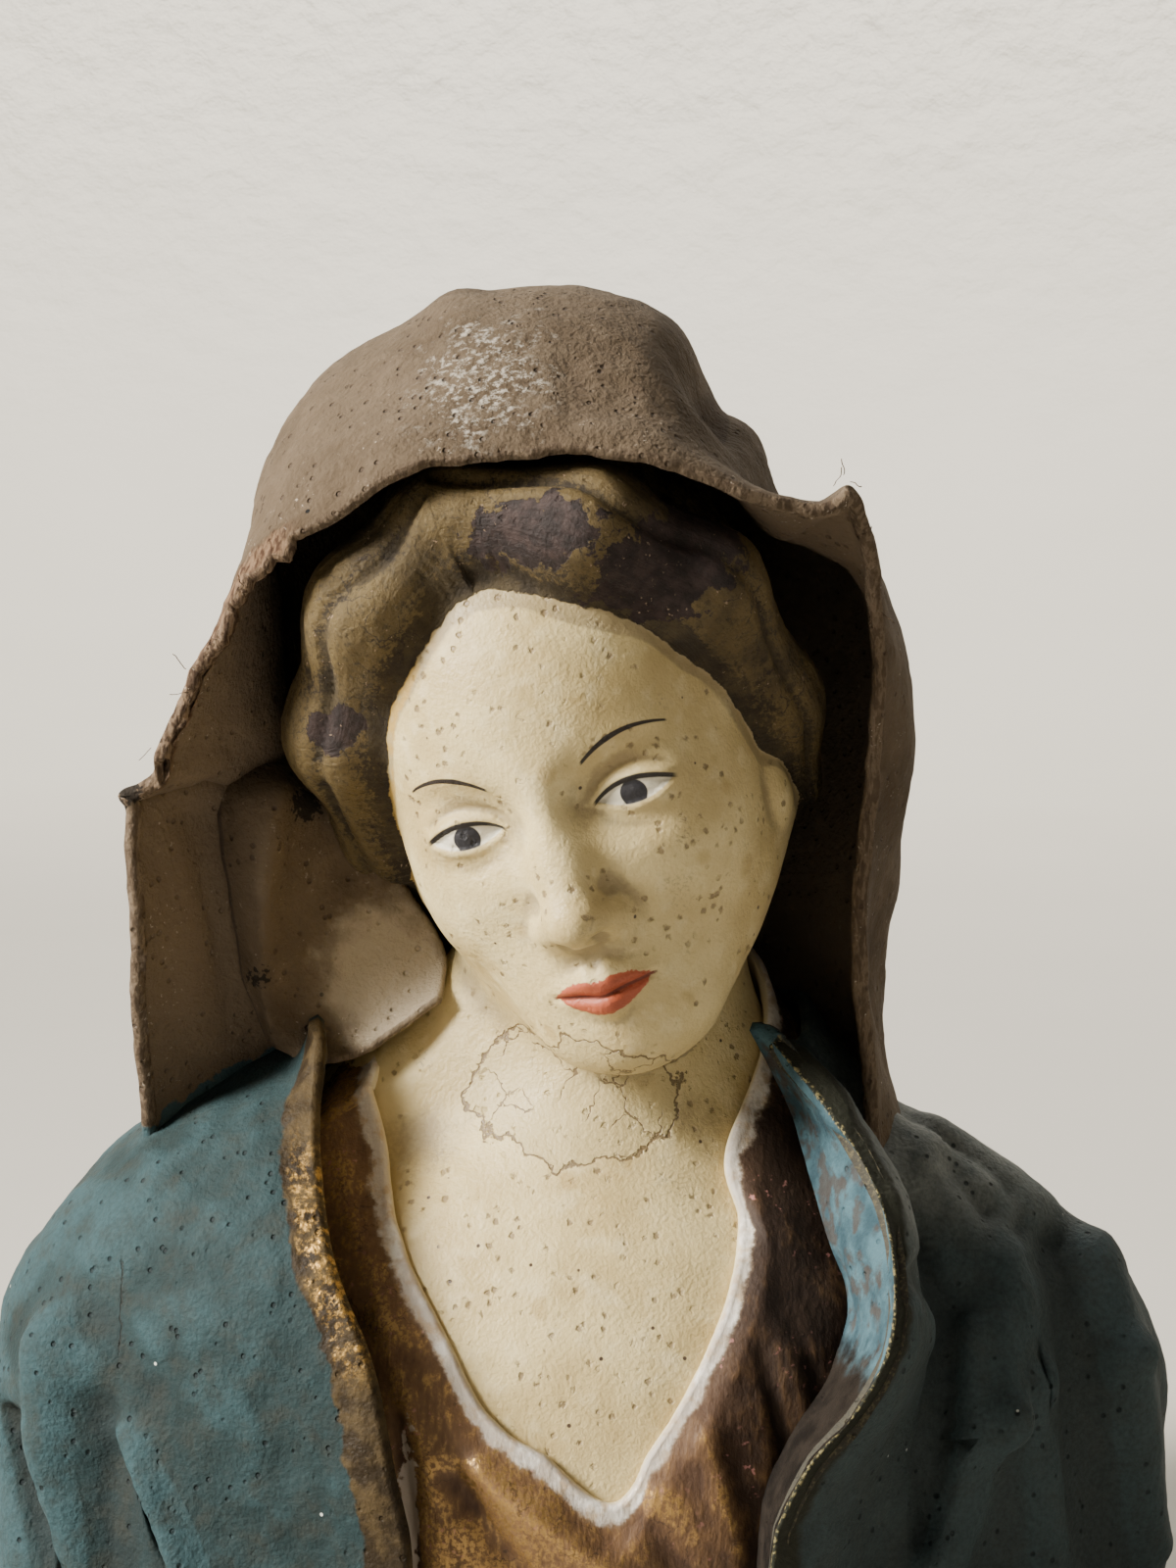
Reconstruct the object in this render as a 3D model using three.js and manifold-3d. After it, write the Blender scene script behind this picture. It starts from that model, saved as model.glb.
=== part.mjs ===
// Bust of a madonna figurine: a painted terracotta head and chest, dressed in a robe, a mantle and a veil of
// cloth stiffened with glue. Millimetres, +Z up, the face towards -Y, the origin under the middle of the flat
// cut. Left and right are the viewer's, so left is -X.
import * as THREE from "three";
import { mergeVertices } from "three/addons/utils/BufferGeometryUtils.js";
import Module from "manifold-3d";

const wasm = await Module();
wasm.setup();

// Driving dimensions
const HEAD_HEIGHT = 54; // chin to crown, without the hair
const HEAD_CENTRE = [-1, 0, 83]; // between the eyes and the back of the skull, at eye level
const HEAD_TURN = { yaw: -12, pitch: 10, roll: -19 }; // degrees: towards the left, bowed, leaning left
const CLOTH = 1.5; // thickness of the stiffened cloth of the mantle and the veil
const ROBE_CLOTH = 1.2;
const GAP = 0.3; // air between pieces that rest on each other
const FACET_ROOM = 0.7; // more air where a coarse sheet lies over a curved one
const VEIL_CENTRE = [0, 5, 84];
const SHOULDER_CENTRE = [0, 5, 20];
// Half-widths of the mantle and of the veil from their centres' upright axes, and their height above them
const MANTLE_OVAL = { left: 58.5, right: 57, front: 27, back: 28, up: 36 };
const VEIL_OVAL = { left: 30, right: 32, front: 31, back: 27, up: 44 };
const VEIL_LEAN = -10; // degrees that its dome leans to the left

const rad = THREE.MathUtils.degToRad;
const { clamp, lerp, smoothstep } = THREE.MathUtils;
const sub = (a, b) => [a[0] - b[0], a[1] - b[1], a[2] - b[2]];
const along = (a, d, t) => [a[0] + d[0] * t, a[1] + d[1] * t, a[2] + d[2] * t];
const mix = (a, b, t) => along(a, sub(b, a), t);
const dot = (a, b) => a[0] * b[0] + a[1] * b[1] + a[2] * b[2];
const size = (a) => Math.hypot(a[0], a[1], a[2]);
const bump = (x, width) => Math.exp(-((x / width) ** 2));

// Distance fields: negative inside a form
const ball = (centre, radii) => (p) => {
  const q = sub(p, centre);
  const near = size([q[0] / radii[0], q[1] / radii[1], q[2] / radii[2]]);
  const slope = size([q[0] / radii[0] ** 2, q[1] / radii[1] ** 2, q[2] / radii[2] ** 2]);
  return slope > 0 ? (near * (near - 1)) / slope : -Math.min(...radii);
};
const limb = (start, end, startRadius, endRadius) => (p) => {
  const d = sub(end, start);
  const t = clamp(dot(sub(p, start), d) / dot(d, d), 0, 1);
  return size(sub(p, along(start, d, t))) - lerp(startRadius, endRadius, t);
};
const join = (a, b, soft) => Math.min(a, b) - Math.max(soft - Math.abs(a - b), 0) ** 2 / (4 * soft);
const carve = (a, b, soft) => -join(-a, b, soft);
const sculpt = (forms, p, from = Infinity) =>
  forms.reduce((d, [form, soft]) => join(d, form(p), soft), from);
const mirrored = (make) => [-1, 1].map(make);

const roll = (path, radii) =>
  path.slice(1).map((p, i) => [limb(path[i], p, radii[i], radii[i + 1]), 7]);

// The head in its own frame, in hundredths of its height: eyes at z = 0, chin at -50, crown at 50, face to -y
const SKIN = [
  [ball([0, 4, 9], [35, 41, 41]), 1], // cranium
  [ball([0, -7, -13], [28.5, 29, 33]), 10], // face
  ...mirrored((s) => [ball([s * 14.5, -16, -13], [13.5, 15, 16]), 10]), // cheeks
  ...mirrored((s) => [limb([s * 26, 4, -18], [s * 9, -24, -40], 8, 7.5), 9]), // jaw
  [ball([0, -27.5, -42.5], [9.5, 9.5, 7.5]), 8], // chin
  [limb([0, -31, 7], [0, -41, -16], 4.2, 4.6), 6], // nose
  [ball([0, -41.5, -17], [4.6, 4.6, 4.2]), 3], // its tip
  ...mirrored((s) => [ball([s * 5.2, -36, -18.3], [3.2, 4.6, 3.2]), 3]), // nostril wings
  [ball([0, -25, -30], [15, 12.5, 12]), 9], // the roundness behind the lips
];
const SOCKETS = mirrored((s) => [ball([s * 15, -38, 1], [10, 6, 6]), 7]);
const LIDS = mirrored((s) => [ball([s * 15, -26, -0.5], [8.5, 8, 6.8]), 2.5]);
const LIPS = [
  ...mirrored((s) => [limb([s * 1.6, -38.2, -28.6], [s * 9.5, -34.2, -30.4], 1.9, 0.6), 2.5]),
  ...mirrored((s) => [limb([0, -37.2, -32.8], [s * 6.5, -35.2, -32], 2.4, 1.2), 2.5]),
];
const HAIR = [
  [ball([0, 11, 13], [38, 39, 43]), 1], // the hair drawn back over the skull
  // Rolls swept from the parting, over the temples and down past the ears
  ...roll([[-6, -21, 44], [-21, -21, 35], [-34, -12, 16], [-38, 0, -4], [-33, 9, -20]], [9, 11, 11, 8, 6]),
  ...roll([[1, -21, 45], [19, -23, 38], [33, -12, 22], [36, 1, 0], [33, 10, -18]], [9, 10, 10, 8, 6]),
];
const EAR_LOBES = mirrored((s) => [ball([s * 33, -4, -15], [4, 5, 6]), 2]);

function skin(q) {
  let d = sculpt(SKIN, q);
  for (const [socket, soft] of SOCKETS) d = carve(d, socket(q), soft);
  return sculpt([...LIDS, ...LIPS, ...EAR_LOBES], q, d);
}

const headTurn = new THREE.Matrix4().makeRotationFromEuler(
  new THREE.Euler(rad(HEAD_TURN.pitch), rad(HEAD_TURN.roll), rad(HEAD_TURN.yaw), "YXZ"),
);
const headToWorld = headTurn.clone().scale(new THREE.Vector3().setScalar(HEAD_HEIGHT / 100));
headToWorld.setPosition(...HEAD_CENTRE);
const worldToHead = headToWorld.clone().invert();
const fromHead = (q) => new THREE.Vector3(...q).applyMatrix4(headToWorld).toArray();
const toHead = (p) => new THREE.Vector3(...p).applyMatrix4(worldToHead).toArray();

// Neck, chest, shoulders and arms, in millimetres. The left arm is brought forward under the mantle.
const ARMS = [
  limb([-37, 8, 24], [-41, 6.5, -10], 12.5, 13.5),
  limb([-35, 0, 26], [-33, -3.5, -10], 8.5, 10.5),
  limb([35, 7, 22], [39, 5, -10], 11.5, 14),
];
const BODY = [
  [limb(fromHead([0, 9, -20]), [1, 7, 46], 12, 12.4), 1], // neck
  [ball([0, 4.5, 14], [37, 24.5, 36]), 9], // chest
  ...mirrored((s) => [limb([s * 5, 8, 60], [s * 25, 8, 36 - s * 5], 7.5, 8), 7]), // slope of the shoulders
  [limb([-34, 8, 33], [34, 8, 24], 11.5, 10.5), 8],
  ...ARMS.map((arm) => [arm, 8]),
];

function figure(p) {
  const q = toHead(p);
  const head = Math.min(skin(q), sculpt(HAIR, q)) * (HEAD_HEIGHT / 100);
  return join(head, sculpt(BODY, p), 2.5);
}

// Walks in along a ray and returns how far from its start the field is first reached
function reach(field, start, direction, far = 90) {
  let t = far;
  for (let step = 0; step < 200 && t > 0.5; step++) {
    const d = field(along(start, direction, t));
    if (d < 0.005) break;
    t -= Math.max(0.7 * d, 0.005);
  }
  return Math.max(t, 0.5);
}

function geometryOf(points, faces) {
  const geometry = new THREE.BufferGeometry();
  geometry.setAttribute("position", new THREE.Float32BufferAttribute(points.flat(), 3));
  geometry.setIndex(faces.flat());
  const merged = mergeVertices(geometry, 1e-4);
  const index = [...merged.index.array];
  const kept = index.filter((_, i) => {
    const [a, b, c] = index.slice(i - (i % 3), i - (i % 3) + 3);
    return a !== b && b !== c && a !== c;
  });
  merged.setIndex(kept);
  return merged;
}

// Two triangles for each cell of a grid of rows, split along its shorter diagonal. A closed grid joins its
// last column to its first.
function gridFaces(points, columns, closed) {
  const faces = [];
  const far = (i, j) => size(sub(points[i], points[j]));
  const wide = closed ? columns : columns - 1;
  for (let row = 0; row + columns < points.length; row += columns)
    for (let j = 0; j < wide; j++) {
      const [a, b] = [row + j, row + ((j + 1) % columns)];
      const [c, d] = [a + columns, b + columns];
      faces.push(...(far(b, c) < far(a, d) ? [[a, c, b], [b, c, d]] : [[a, c, d], [a, d, b]]));
    }
  return faces;
}

// The head and chest: rows of rays around an axis that bends from the head's own to the upright one.
// Each key gives a centre, the row's up direction and how many rows lead to the next key.
const headUp = new THREE.Vector3(0, 0, 1).applyMatrix4(headTurn).toArray();
const ROW_KEYS = [
  { centre: fromHead([0, 2, 14]), up: headUp, rows: 20 },
  { centre: fromHead([0, 0, -40]), up: headUp, rows: 5 },
  { centre: fromHead([0, 4, -56]), up: mix(headUp, [0, 0, 1], 0.6), rows: 4 },
  { centre: [1, 6, 48], up: [0, 0, 1], rows: 8 },
  { centre: [0, 5, 16], up: [0, 0, 1], rows: 2 },
  { centre: [0, 5, 0], up: [0, 0, 1], rows: 1 },
];
const CAP_ROWS = 10;
const COLUMNS = 40;
const CROWDING = 0.5; // how far the columns of a ring draw together in front

function columnTurn(j, columns) {
  const t = (2 * j) / columns - 1;
  return Math.PI * t - CROWDING * Math.sin(Math.PI * t);
}

function figureSolid(grown = 0) {
  const field = (p) => figure(p) - grown;
  const points = [];
  const ring = (centre, up, elevation) => {
    const right = new THREE.Vector3(...headRight(up));
    const back = new THREE.Vector3(...up).normalize().cross(right);
    for (let j = 0; j < COLUMNS; j++) {
      const turn = columnTurn(j, COLUMNS);
      const flat = right.clone().multiplyScalar(Math.sin(turn)).addScaledVector(back, -Math.cos(turn));
      const ray = flat.multiplyScalar(Math.cos(elevation));
      ray.addScaledVector(new THREE.Vector3(...up).normalize(), Math.sin(elevation));
      const direction = ray.toArray();
      points.push(along(centre, direction, reach(field, centre, direction)));
    }
  };
  const top = ROW_KEYS[0];
  for (let i = 0; i < CAP_ROWS; i++) ring(top.centre, top.up, (Math.PI / 2) * (1 - (i + 0.15) / CAP_ROWS));
  ROW_KEYS.forEach((key, k) => {
    const next = ROW_KEYS[Math.min(k + 1, ROW_KEYS.length - 1)];
    for (let i = 0; i < key.rows; i++) {
      const t = i / key.rows;
      ring(mix(key.centre, next.centre, t), mix(key.up, next.up, t), 0);
    }
  });
  const faces = gridFaces(points, COLUMNS, true);
  const last = points.length - COLUMNS;
  const crown = points.push(along(top.centre, top.up, reach(field, top.centre, top.up))) - 1;
  const foot = points.push([0, 5, 0]) - 1;
  for (let j = 0; j < COLUMNS; j++) {
    const next = (j + 1) % COLUMNS;
    faces.push([crown, j, next], [last + j, foot, last + next]);
  }
  return geometryOf(points, faces);
}

// Right of the head, kept square to a row's up direction
function headRight(up) {
  const right = new THREE.Vector3(1, 0, 0).applyMatrix4(headTurn);
  const level = clamp((up[2] / size(up) - headUp[2]) / (1 - headUp[2]), 0, 1);
  right.lerp(new THREE.Vector3(1, 0, 0), level);
  const normal = new THREE.Vector3(...up).normalize();
  return right.addScaledVector(normal, -right.dot(normal)).normalize().toArray();
}

// A sheet's place is given by a turn round its centre's upright axis, in degrees from straight ahead and
// positive to the right, and a lift: degrees above the centre's level, or millimetres below it if negative.
function rayAt(centre, turn, lift) {
  const up = Math.max(rad(lift), 0);
  const flat = Math.cos(up);
  return {
    start: [centre[0], centre[1], centre[2] + Math.min(lift, 0)],
    direction: [Math.sin(rad(turn)) * flat, -Math.cos(rad(turn)) * flat, Math.sin(up)],
  };
}

function placeOf(centre, p) {
  const q = sub(p, centre);
  const flat = Math.hypot(q[0], q[1]);
  const lift = q[2] > 0 ? THREE.MathUtils.radToDeg(Math.atan2(q[2], flat)) : q[2];
  return { turn: THREE.MathUtils.radToDeg(Math.atan2(q[0], -q[1])), lift, reach: q[2] > 0 ? size(q) : flat };
}

// How far an oval with its own half-axis on each side reaches in a direction. It is fuller than an ellipsoid
// where the power is above 2 and straighter where it is below.
function ovalReach(d, { left, right, front, back, up }, power = 2) {
  const share = [d[0] / (d[0] < 0 ? left : right), d[1] / (d[1] < 0 ? front : back), d[2] / up];
  return share.reduce((sum, q) => sum + Math.abs(q) ** power, 0) ** (-1 / power);
}

const curveThrough = (points) => new THREE.CatmullRomCurve3(points.map((p) => new THREE.Vector3(...p)));

// A sheet of cloth made into a solid: its outside stands out from the given surface, its inside lies behind
function thicken(sheet, out, inside) {
  sheet.computeVertexNormals();
  const { position, normal } = sheet.attributes;
  const index = sheet.index.array;
  const count = position.count;
  const points = [];
  for (const offset of [out, -inside])
    for (let i = 0; i < count; i++) {
      const n = new THREE.Vector3().fromBufferAttribute(normal, i);
      const p = new THREE.Vector3().fromBufferAttribute(position, i).addScaledVector(n, offset).toArray();
      if (position.getZ(i) < 0.001) p[2] = 0; // the flat cut
      points.push(p);
    }
  const faces = [];
  const used = new Set();
  for (let i = 0; i < index.length; i += 3)
    for (let k = 0; k < 3; k++) used.add(index[i + k] + "," + index[i + ((k + 1) % 3)]);
  for (let i = 0; i < index.length; i += 3) {
    const [a, b, c] = index.subarray(i, i + 3);
    faces.push([a, b, c], [a + count, c + count, b + count]);
    for (const [from, to] of [[a, b], [b, c], [c, a]])
      if (!used.has(to + "," + from))
        faces.push([to, from, from + count], [to, from + count, to + count]);
  }
  return geometryOf(points, faces);
}

function solidOf(geometry) {
  return new wasm.Manifold(
    new wasm.Mesh({
      numProp: 3,
      vertProperties: geometry.attributes.position.array,
      triVerts: new Uint32Array(geometry.index.array),
    }),
  );
}

// Back to a geometry, keeping the largest body where a cut left crumbs
function geometryFrom(solid) {
  const bodies = solid.decompose().sort((a, b) => b.volume() - a.volume());
  const { numProp, vertProperties, triVerts } = bodies[0].getMesh();
  const geometry = new THREE.BufferGeometry();
  const points = new Float32Array((vertProperties.length / numProp) * 3);
  for (let i = 0; i * 3 < points.length; i++) {
    points.set(vertProperties.subarray(i * numProp, i * numProp + 3), i * 3);
  }
  geometry.setAttribute("position", new THREE.BufferAttribute(points, 3));
  geometry.setIndex(new THREE.BufferAttribute(triVerts, 1));
  return geometry;
}

// The robe: cloth laid close over the body, with a low neckline that rises to the nape
const ROBE = { rows: 7, columns: 28 };
const ROBE_ROOM = 1.1; // between the body and the inside of the robe
// Its neckline in front from left to right, each point an x and a z, and round the back, a turn and a lift
const NECKLINE = [
  [-22, 52], [-20.3, 45.7], [-15.5, 33.1], [-9.9, 23.7], [-3.6, 19.4], [3.6, 16], [9.1, 24.7], [14.1, 35],
  [15.1, 40.7], [14.5, 48],
];
const NAPE = [[100, 66], [140, 68], [180, 68], [220, 67], [255, 62]];
const robed = (p) => sculpt(BODY, p) - ROBE_ROOM - ROBE_CLOTH;

// The point of a field's surface straight in front of x and z
function frontOf(field, x, z) {
  const start = [x, 5, z];
  return along(start, [0, -1, 0], reach(field, start, [0, -1, 0], 60));
}

const necklineCurve = curveThrough([
  ...NECKLINE.map(([x, z]) => {
    const { turn, lift } = placeOf(SHOULDER_CENTRE, frontOf(robed, x, z));
    return [turn, lift, 0];
  }),
  ...NAPE.map(([turn, lift]) => [turn, lift, 0]),
]);

function robe() {
  const points = [];
  for (let i = 0; i < ROBE.rows; i++)
    for (let j = 0; j < ROBE.columns; j++) {
      const { x: turn, y: lift } = necklineCurve.getPoint(j / ROBE.columns);
      const low = lerp(lift, -SHOULDER_CENTRE[2], (i / (ROBE.rows - 1)) ** 0.9);
      const { start, direction } = rayAt(SHOULDER_CENTRE, turn, low);
      points.push(along(start, direction, reach(robed, start, direction)));
    }
  return geometryOf(points, gridFaces(points, ROBE.columns, true));
}

// The mantle: a cape round the shoulders, open in front
const MANTLE = { rows: 14, columns: 35, flare: 0.1 };
const MANTLE_CROWDING = 0.07; // how far its columns draw together towards the front edges
const MANTLE_LEVEL = 0.7; // the share of its rows above the shoulders' centre
const MANTLE_LIFT = 60; // of its collar behind the neck
const MANTLE_LEFT = [
  [-26, -3, 56], [-26, -8, 51], [-25.6, -12, 46.3], [-23.7, -19, 37.8], [-20.1, -23, 29.3],
  [-17.9, -25, 19.1], [-16.6, -25, 12.2], [-16.3, -25, 0],
];
// On the right its edge is a lapel: a ridge that stands out, and the foot of the lining behind it
const MANTLE_RIDGE = [
  [17.5, -8, 56.2], [22.7, -14, 50.4], [26.3, -20, 44.3], [27.4, -25, 38.3], [26.6, -28, 31.9],
  [23.3, -30, 26.5], [19.7, -31, 22.7], [17.1, -31, 17.7], [16.3, -31, 14.2], [15.5, -30, 0],
];
const LAPEL_FOOT = [
  [15.5, 57], [19, 50.4], [20.5, 45.4], [22.2, 39.6], [24.4, 33], [22.2, 27], [18.8, 22.7], [16.3, 17.7],
  [15.6, 14.2], [14.8, 0],
];
// Folds: from, to, half-width and height, which is negative for a groove
const MANTLE_FOLDS = [
  [[29, -9, 41], [33.5, -12.5, 31], 2.5, -2.5],
  [[33.5, -12.5, 31], [31.5, -15.5, 14], 2.5, -3.5],
  [[37, -13, 30], [36, -14.5, 21], 3, 2],
  [[36, -14.5, 21], [30.5, -17, 5], 3, 2.5],
  [[29, 3, 50], [41, 1, 40], 2.5, -1.5],
  [[44.5, -3, 36], [46.5, -8, 25], 4, -3.5],
  [[46.5, -8, 25], [50, -8, 4], 4, -4.5],
  [[-50.5, -9, 28], [-49.5, -12, 4], 3, 2.5],
  [[-46, -12, 21], [-44, -14, 0], 3, -3.5],
  [[-45, -12, 20], [-34, -18.5, 2], 3, 2],
  [[-56, -5, 18], [-51, -10, 0], 2.5, -3],
];
const BACK_FOLDS = { count: 9, height: 1.6 };

const mantleLeft = curveThrough(MANTLE_LEFT);
const mantleRidge = curveThrough(MANTLE_RIDGE);
const lapelFoot = curveThrough(LAPEL_FOOT.map(([x, z]) => [x, 0, z]));

function foldHeight(p, folds) {
  return folds.reduce((sum, [from, to, width, height]) => {
    const away = limb(from, to, 0, 0)(p);
    return sum + height * bump(away, width);
  }, 0);
}

function mantleReach({ turn, lift }) {
  const { start, direction } = rayAt(SHOULDER_CENTRE, turn, lift);
  const power = lerp(2.2, 1.75, smoothstep(direction[0], -0.3, 0.3));
  const oval = ovalReach(direction, MANTLE_OVAL, power);
  const low = 1 - clamp(lift / 70, 0, 1);
  const behind = smoothstep(direction[1], -0.1, 0.4);
  const folds = BACK_FOLDS.height * behind * low * Math.sin(BACK_FOLDS.count * rad(turn));
  const out = oval + folds + foldHeight(along(start, direction, oval), MANTLE_FOLDS);
  const under = reach(robed, start, direction) + GAP + CLOTH + FACET_ROOM;
  return -join(-out, -under, 2);
}

function mantlePoint(u, v) {
  const left = placeOf(SHOULDER_CENTRE, mantleLeft.getPoint(v).toArray());
  const right = placeOf(SHOULDER_CENTRE, mantleRidge.getPoint(v).toArray());
  const above = 1 - v / MANTLE_LEVEL;
  const below = (v - MANTLE_LEVEL) / (1 - MANTLE_LEVEL);
  const backLift = above > 0 ? MANTLE_LIFT * above : -SHOULDER_CENTRE[2] * below;
  const lift = lerp(lerp(left.lift, right.lift, u), backLift, smoothstep(Math.min(u, 1 - u), 0, 0.22));
  const place = { turn: lerp(left.turn, right.turn - 360, u), lift };
  const edge = u < 0.5 ? left : right;
  const flare = (edge.reach - mantleReach(edge)) * (1 - smoothstep(Math.min(u, 1 - u), 0, MANTLE.flare));
  const { start, direction } = rayAt(SHOULDER_CENTRE, place.turn, place.lift);
  return along(start, direction, mantleReach(place) + flare);
}

function mantleSheet() {
  const points = [];
  for (let i = 0; i < MANTLE.rows; i++) {
    const v = i / (MANTLE.rows - 1);
    for (let j = 0; j < MANTLE.columns; j++) {
      const t = j / (MANTLE.columns - 1);
      points.push(mantlePoint(t - MANTLE_CROWDING * Math.sin(2 * Math.PI * t), v));
    }
    const foot = lapelFoot.getPoint(v);
    const behind = frontOf(robed, foot.x, foot.z);
    behind[1] -= GAP + CLOTH + FACET_ROOM;
    const ridge = points[points.length - 1];
    points.push(mix(ridge, behind, 0.5), behind);
  }
  const faces = gridFaces(points, MANTLE.columns + 2, false).map(([a, b, c]) => [a, c, b]);
  return geometryOf(points, faces);
}

// The veil: a hood whose front edge goes down on both sides from the top, with a line down the back
const VEIL = { rows: 16, columns: 13, flare: { left: 0.3, right: 0.2 } };
const VEIL_CROWDING = 1.3; // how far its columns draw together towards the front edges
// Below this height it comes to lie on the mantle, between these shares of the way from the front to the back
const VEIL_REST = { z: 70, left: [0.14, 0.3], right: [0.3, 0.55] };
const VEIL_BACK = { top: 35, bottom: -44 };
const HEM_RISE = { u: 0.45, width: 0.2, left: 0, right: 10, back: 3 }; // where the hem crosses the shoulders
const VEIL_LEFT = [
  [-2, -21, 112.1], [-14.9, -20, 110.8], [-23.8, -18, 105.5], [-29.7, -16, 101.5], [-33.2, -14, 96.7],
  [-37.7, -12, 88.9], [-41.4, -10, 82], [-43.2, -9, 78.2], [-43.3, -7, 64], [-43.3, -3, 54], [-43.2, 2, 43],
];
const VEIL_RIGHT = [
  [-2, -21, 112.1], [5, -21, 111.3], [13.1, -20, 108.5], [20.6, -18, 106.9], [23.6, -17, 108.6],
  [26.2, -13, 104.3], [27.2, -10, 97.6], [27.8, -8, 89.2], [27.2, -7, 79.6], [26.3, -7, 65.9], [27.2, -6, 54],
  [28, -5, 42],
];
const veilLeft = curveThrough(VEIL_LEFT);
const veilRight = curveThrough(VEIL_RIGHT);
const PILLAR = 30; // millimetres below the centre that count as much as one radius, where places are mixed

// A place as a point on a unit dome over a unit pillar, which can be mixed with another
function onDome({ turn, lift }) {
  const { direction } = rayAt([0, 0, 0], turn, lift);
  return lift > 0 ? direction : [direction[0], direction[1], lift / PILLAR];
}
function placeOnDome(m) {
  const flat = Math.hypot(m[0], m[1]);
  const turn = THREE.MathUtils.radToDeg(Math.atan2(m[0], -m[1]));
  return { turn, lift: m[2] > 0 ? THREE.MathUtils.radToDeg(Math.atan2(m[2], flat)) : m[2] * PILLAR };
}

// Folds and dents: from, to, half-width and height
const VEIL_FOLDS = [
  [[22, -14, 112], [21, 14, 112], 8, -6],
  [[13.3, -8, 119.5], [12.8, 12, 119.5], 4.5, -5],
  [[-29, -10, 107], [-22, 14, 115], 10, 4.5],
  [[-32, -8, 104], [-31, 8, 105], 5, 1.8],
  [[-13.5, -12, 126], [-13, 12, 127], 3, 1.5],
];
const NAPE_WAIST = { z: 62, width: 14, depth: 0.16 };
// Pleats of its hanging sides, the same way: behind the front panel on the left a crease, then the cloth
// drawn in to the neck, and on the right a fuller side
const VEIL_PLEATS = [
  [[-36, -2, 77], [-31.5, 4, 50], 3, 2.5],
  [[-25, 7, 67], [-22, 9, 50], 6.5, -8],
  [[28, 7, 68], [28, 7, 61], 6, 2.3],
];

function veilReach({ turn, lift }) {
  const { start, direction } = rayAt(VEIL_CENTRE, turn, lift);
  const lean = rad(VEIL_LEAN);
  const tilted = [
    direction[0] * Math.cos(lean) - direction[2] * Math.sin(lean),
    direction[1],
    direction[0] * Math.sin(lean) + direction[2] * Math.cos(lean),
  ];
  const oval = ovalReach(tilted, VEIL_OVAL);
  const p = along(start, direction, oval);
  const waist = 1 - NAPE_WAIST.depth * bump(p[2] - NAPE_WAIST.z, NAPE_WAIST.width);
  return (oval + foldHeight(p, VEIL_FOLDS)) * waist;
}

// Where the veil lies on the mantle behind, its points are pushed out of the space that the mantle fills
function laidOnMantle(p) {
  const place = placeOf(SHOULDER_CENTRE, p);
  const surface = mantleReach(place) + GAP + CLOTH + FACET_ROOM;
  const { start, direction } = rayAt(SHOULDER_CENTRE, place.turn, place.lift);
  return along(start, direction, Math.max(place.reach, surface));
}

function veilPoint(side, s, u) {
  const edge = placeOf(VEIL_CENTRE, (side < 0 ? veilLeft : veilRight).getPoint(s).toArray());
  const back = { turn: 180, lift: lerp(VEIL_BACK.top, VEIL_BACK.bottom, s) };
  const place = placeOnDome(mix(onDome(edge), onDome(back), u));
  const rise = lerp(side < 0 ? HEM_RISE.left : HEM_RISE.right, HEM_RISE.back, u);
  place.lift += rise * bump(u - HEM_RISE.u, HEM_RISE.width) * smoothstep(s, 0.7, 1);
  const flare = edge.reach - veilReach(edge);
  const span = side < 0 ? VEIL.flare.left : VEIL.flare.right;
  const { start, direction } = rayAt(VEIL_CENTRE, place.turn, place.lift);
  const smooth = along(start, direction, veilReach(place) + flare * (1 - smoothstep(u, 0, span)));
  const p = along(smooth, direction, foldHeight(smooth, VEIL_PLEATS));
  const [free, laid] = side < 0 ? VEIL_REST.left : VEIL_REST.right;
  return p[2] < VEIL_REST.z ? mix(p, laidOnMantle(p), smoothstep(u, free, laid)) : p;
}

function veilSheet() {
  const points = [];
  for (let i = -VEIL.rows; i <= VEIL.rows; i++)
    for (let j = 0; j < VEIL.columns; j++) {
      const u = (j / (VEIL.columns - 1)) ** VEIL_CROWDING;
      points.push(veilPoint(Math.sign(i), Math.abs(i) / VEIL.rows, u));
    }
  return geometryOf(points, gridFaces(points, VEIL.columns, false));
}

// The space that the mantle fills, grown by the gap, for cutting the veil's foot to stand on it
const SPACE = { rows: 16, columns: 60, top: 86 };
function mantleSpace() {
  const { rows, columns, top } = SPACE;
  const points = [];
  for (let i = 0; i < rows; i++)
    for (let j = 0; j < columns; j++) {
      const turn = (360 * j) / columns - 180;
      const place = { turn, lift: i < rows - 1 ? top * (1 - i / (rows - 2)) : -SHOULDER_CENTRE[2] - 1 };
      const { start, direction } = rayAt(SHOULDER_CENTRE, turn, place.lift);
      points.push(along(start, direction, mantleReach(place) + 2 * GAP));
    }
  const faces = gridFaces(points, columns, true);
  const crown = points.push(along(SHOULDER_CENTRE, [0, 0, 1], mantleReach({ turn: 0, lift: 89 }) + GAP)) - 1;
  const foot = points.push([0, 5, -1]) - 1;
  const last = (rows - 1) * columns;
  for (let j = 0; j < columns; j++) {
    const next = (j + 1) % columns;
    faces.push([crown, j, next], [last + j, foot, last + next]);
  }
  return geometryOf(points, faces);
}

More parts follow.
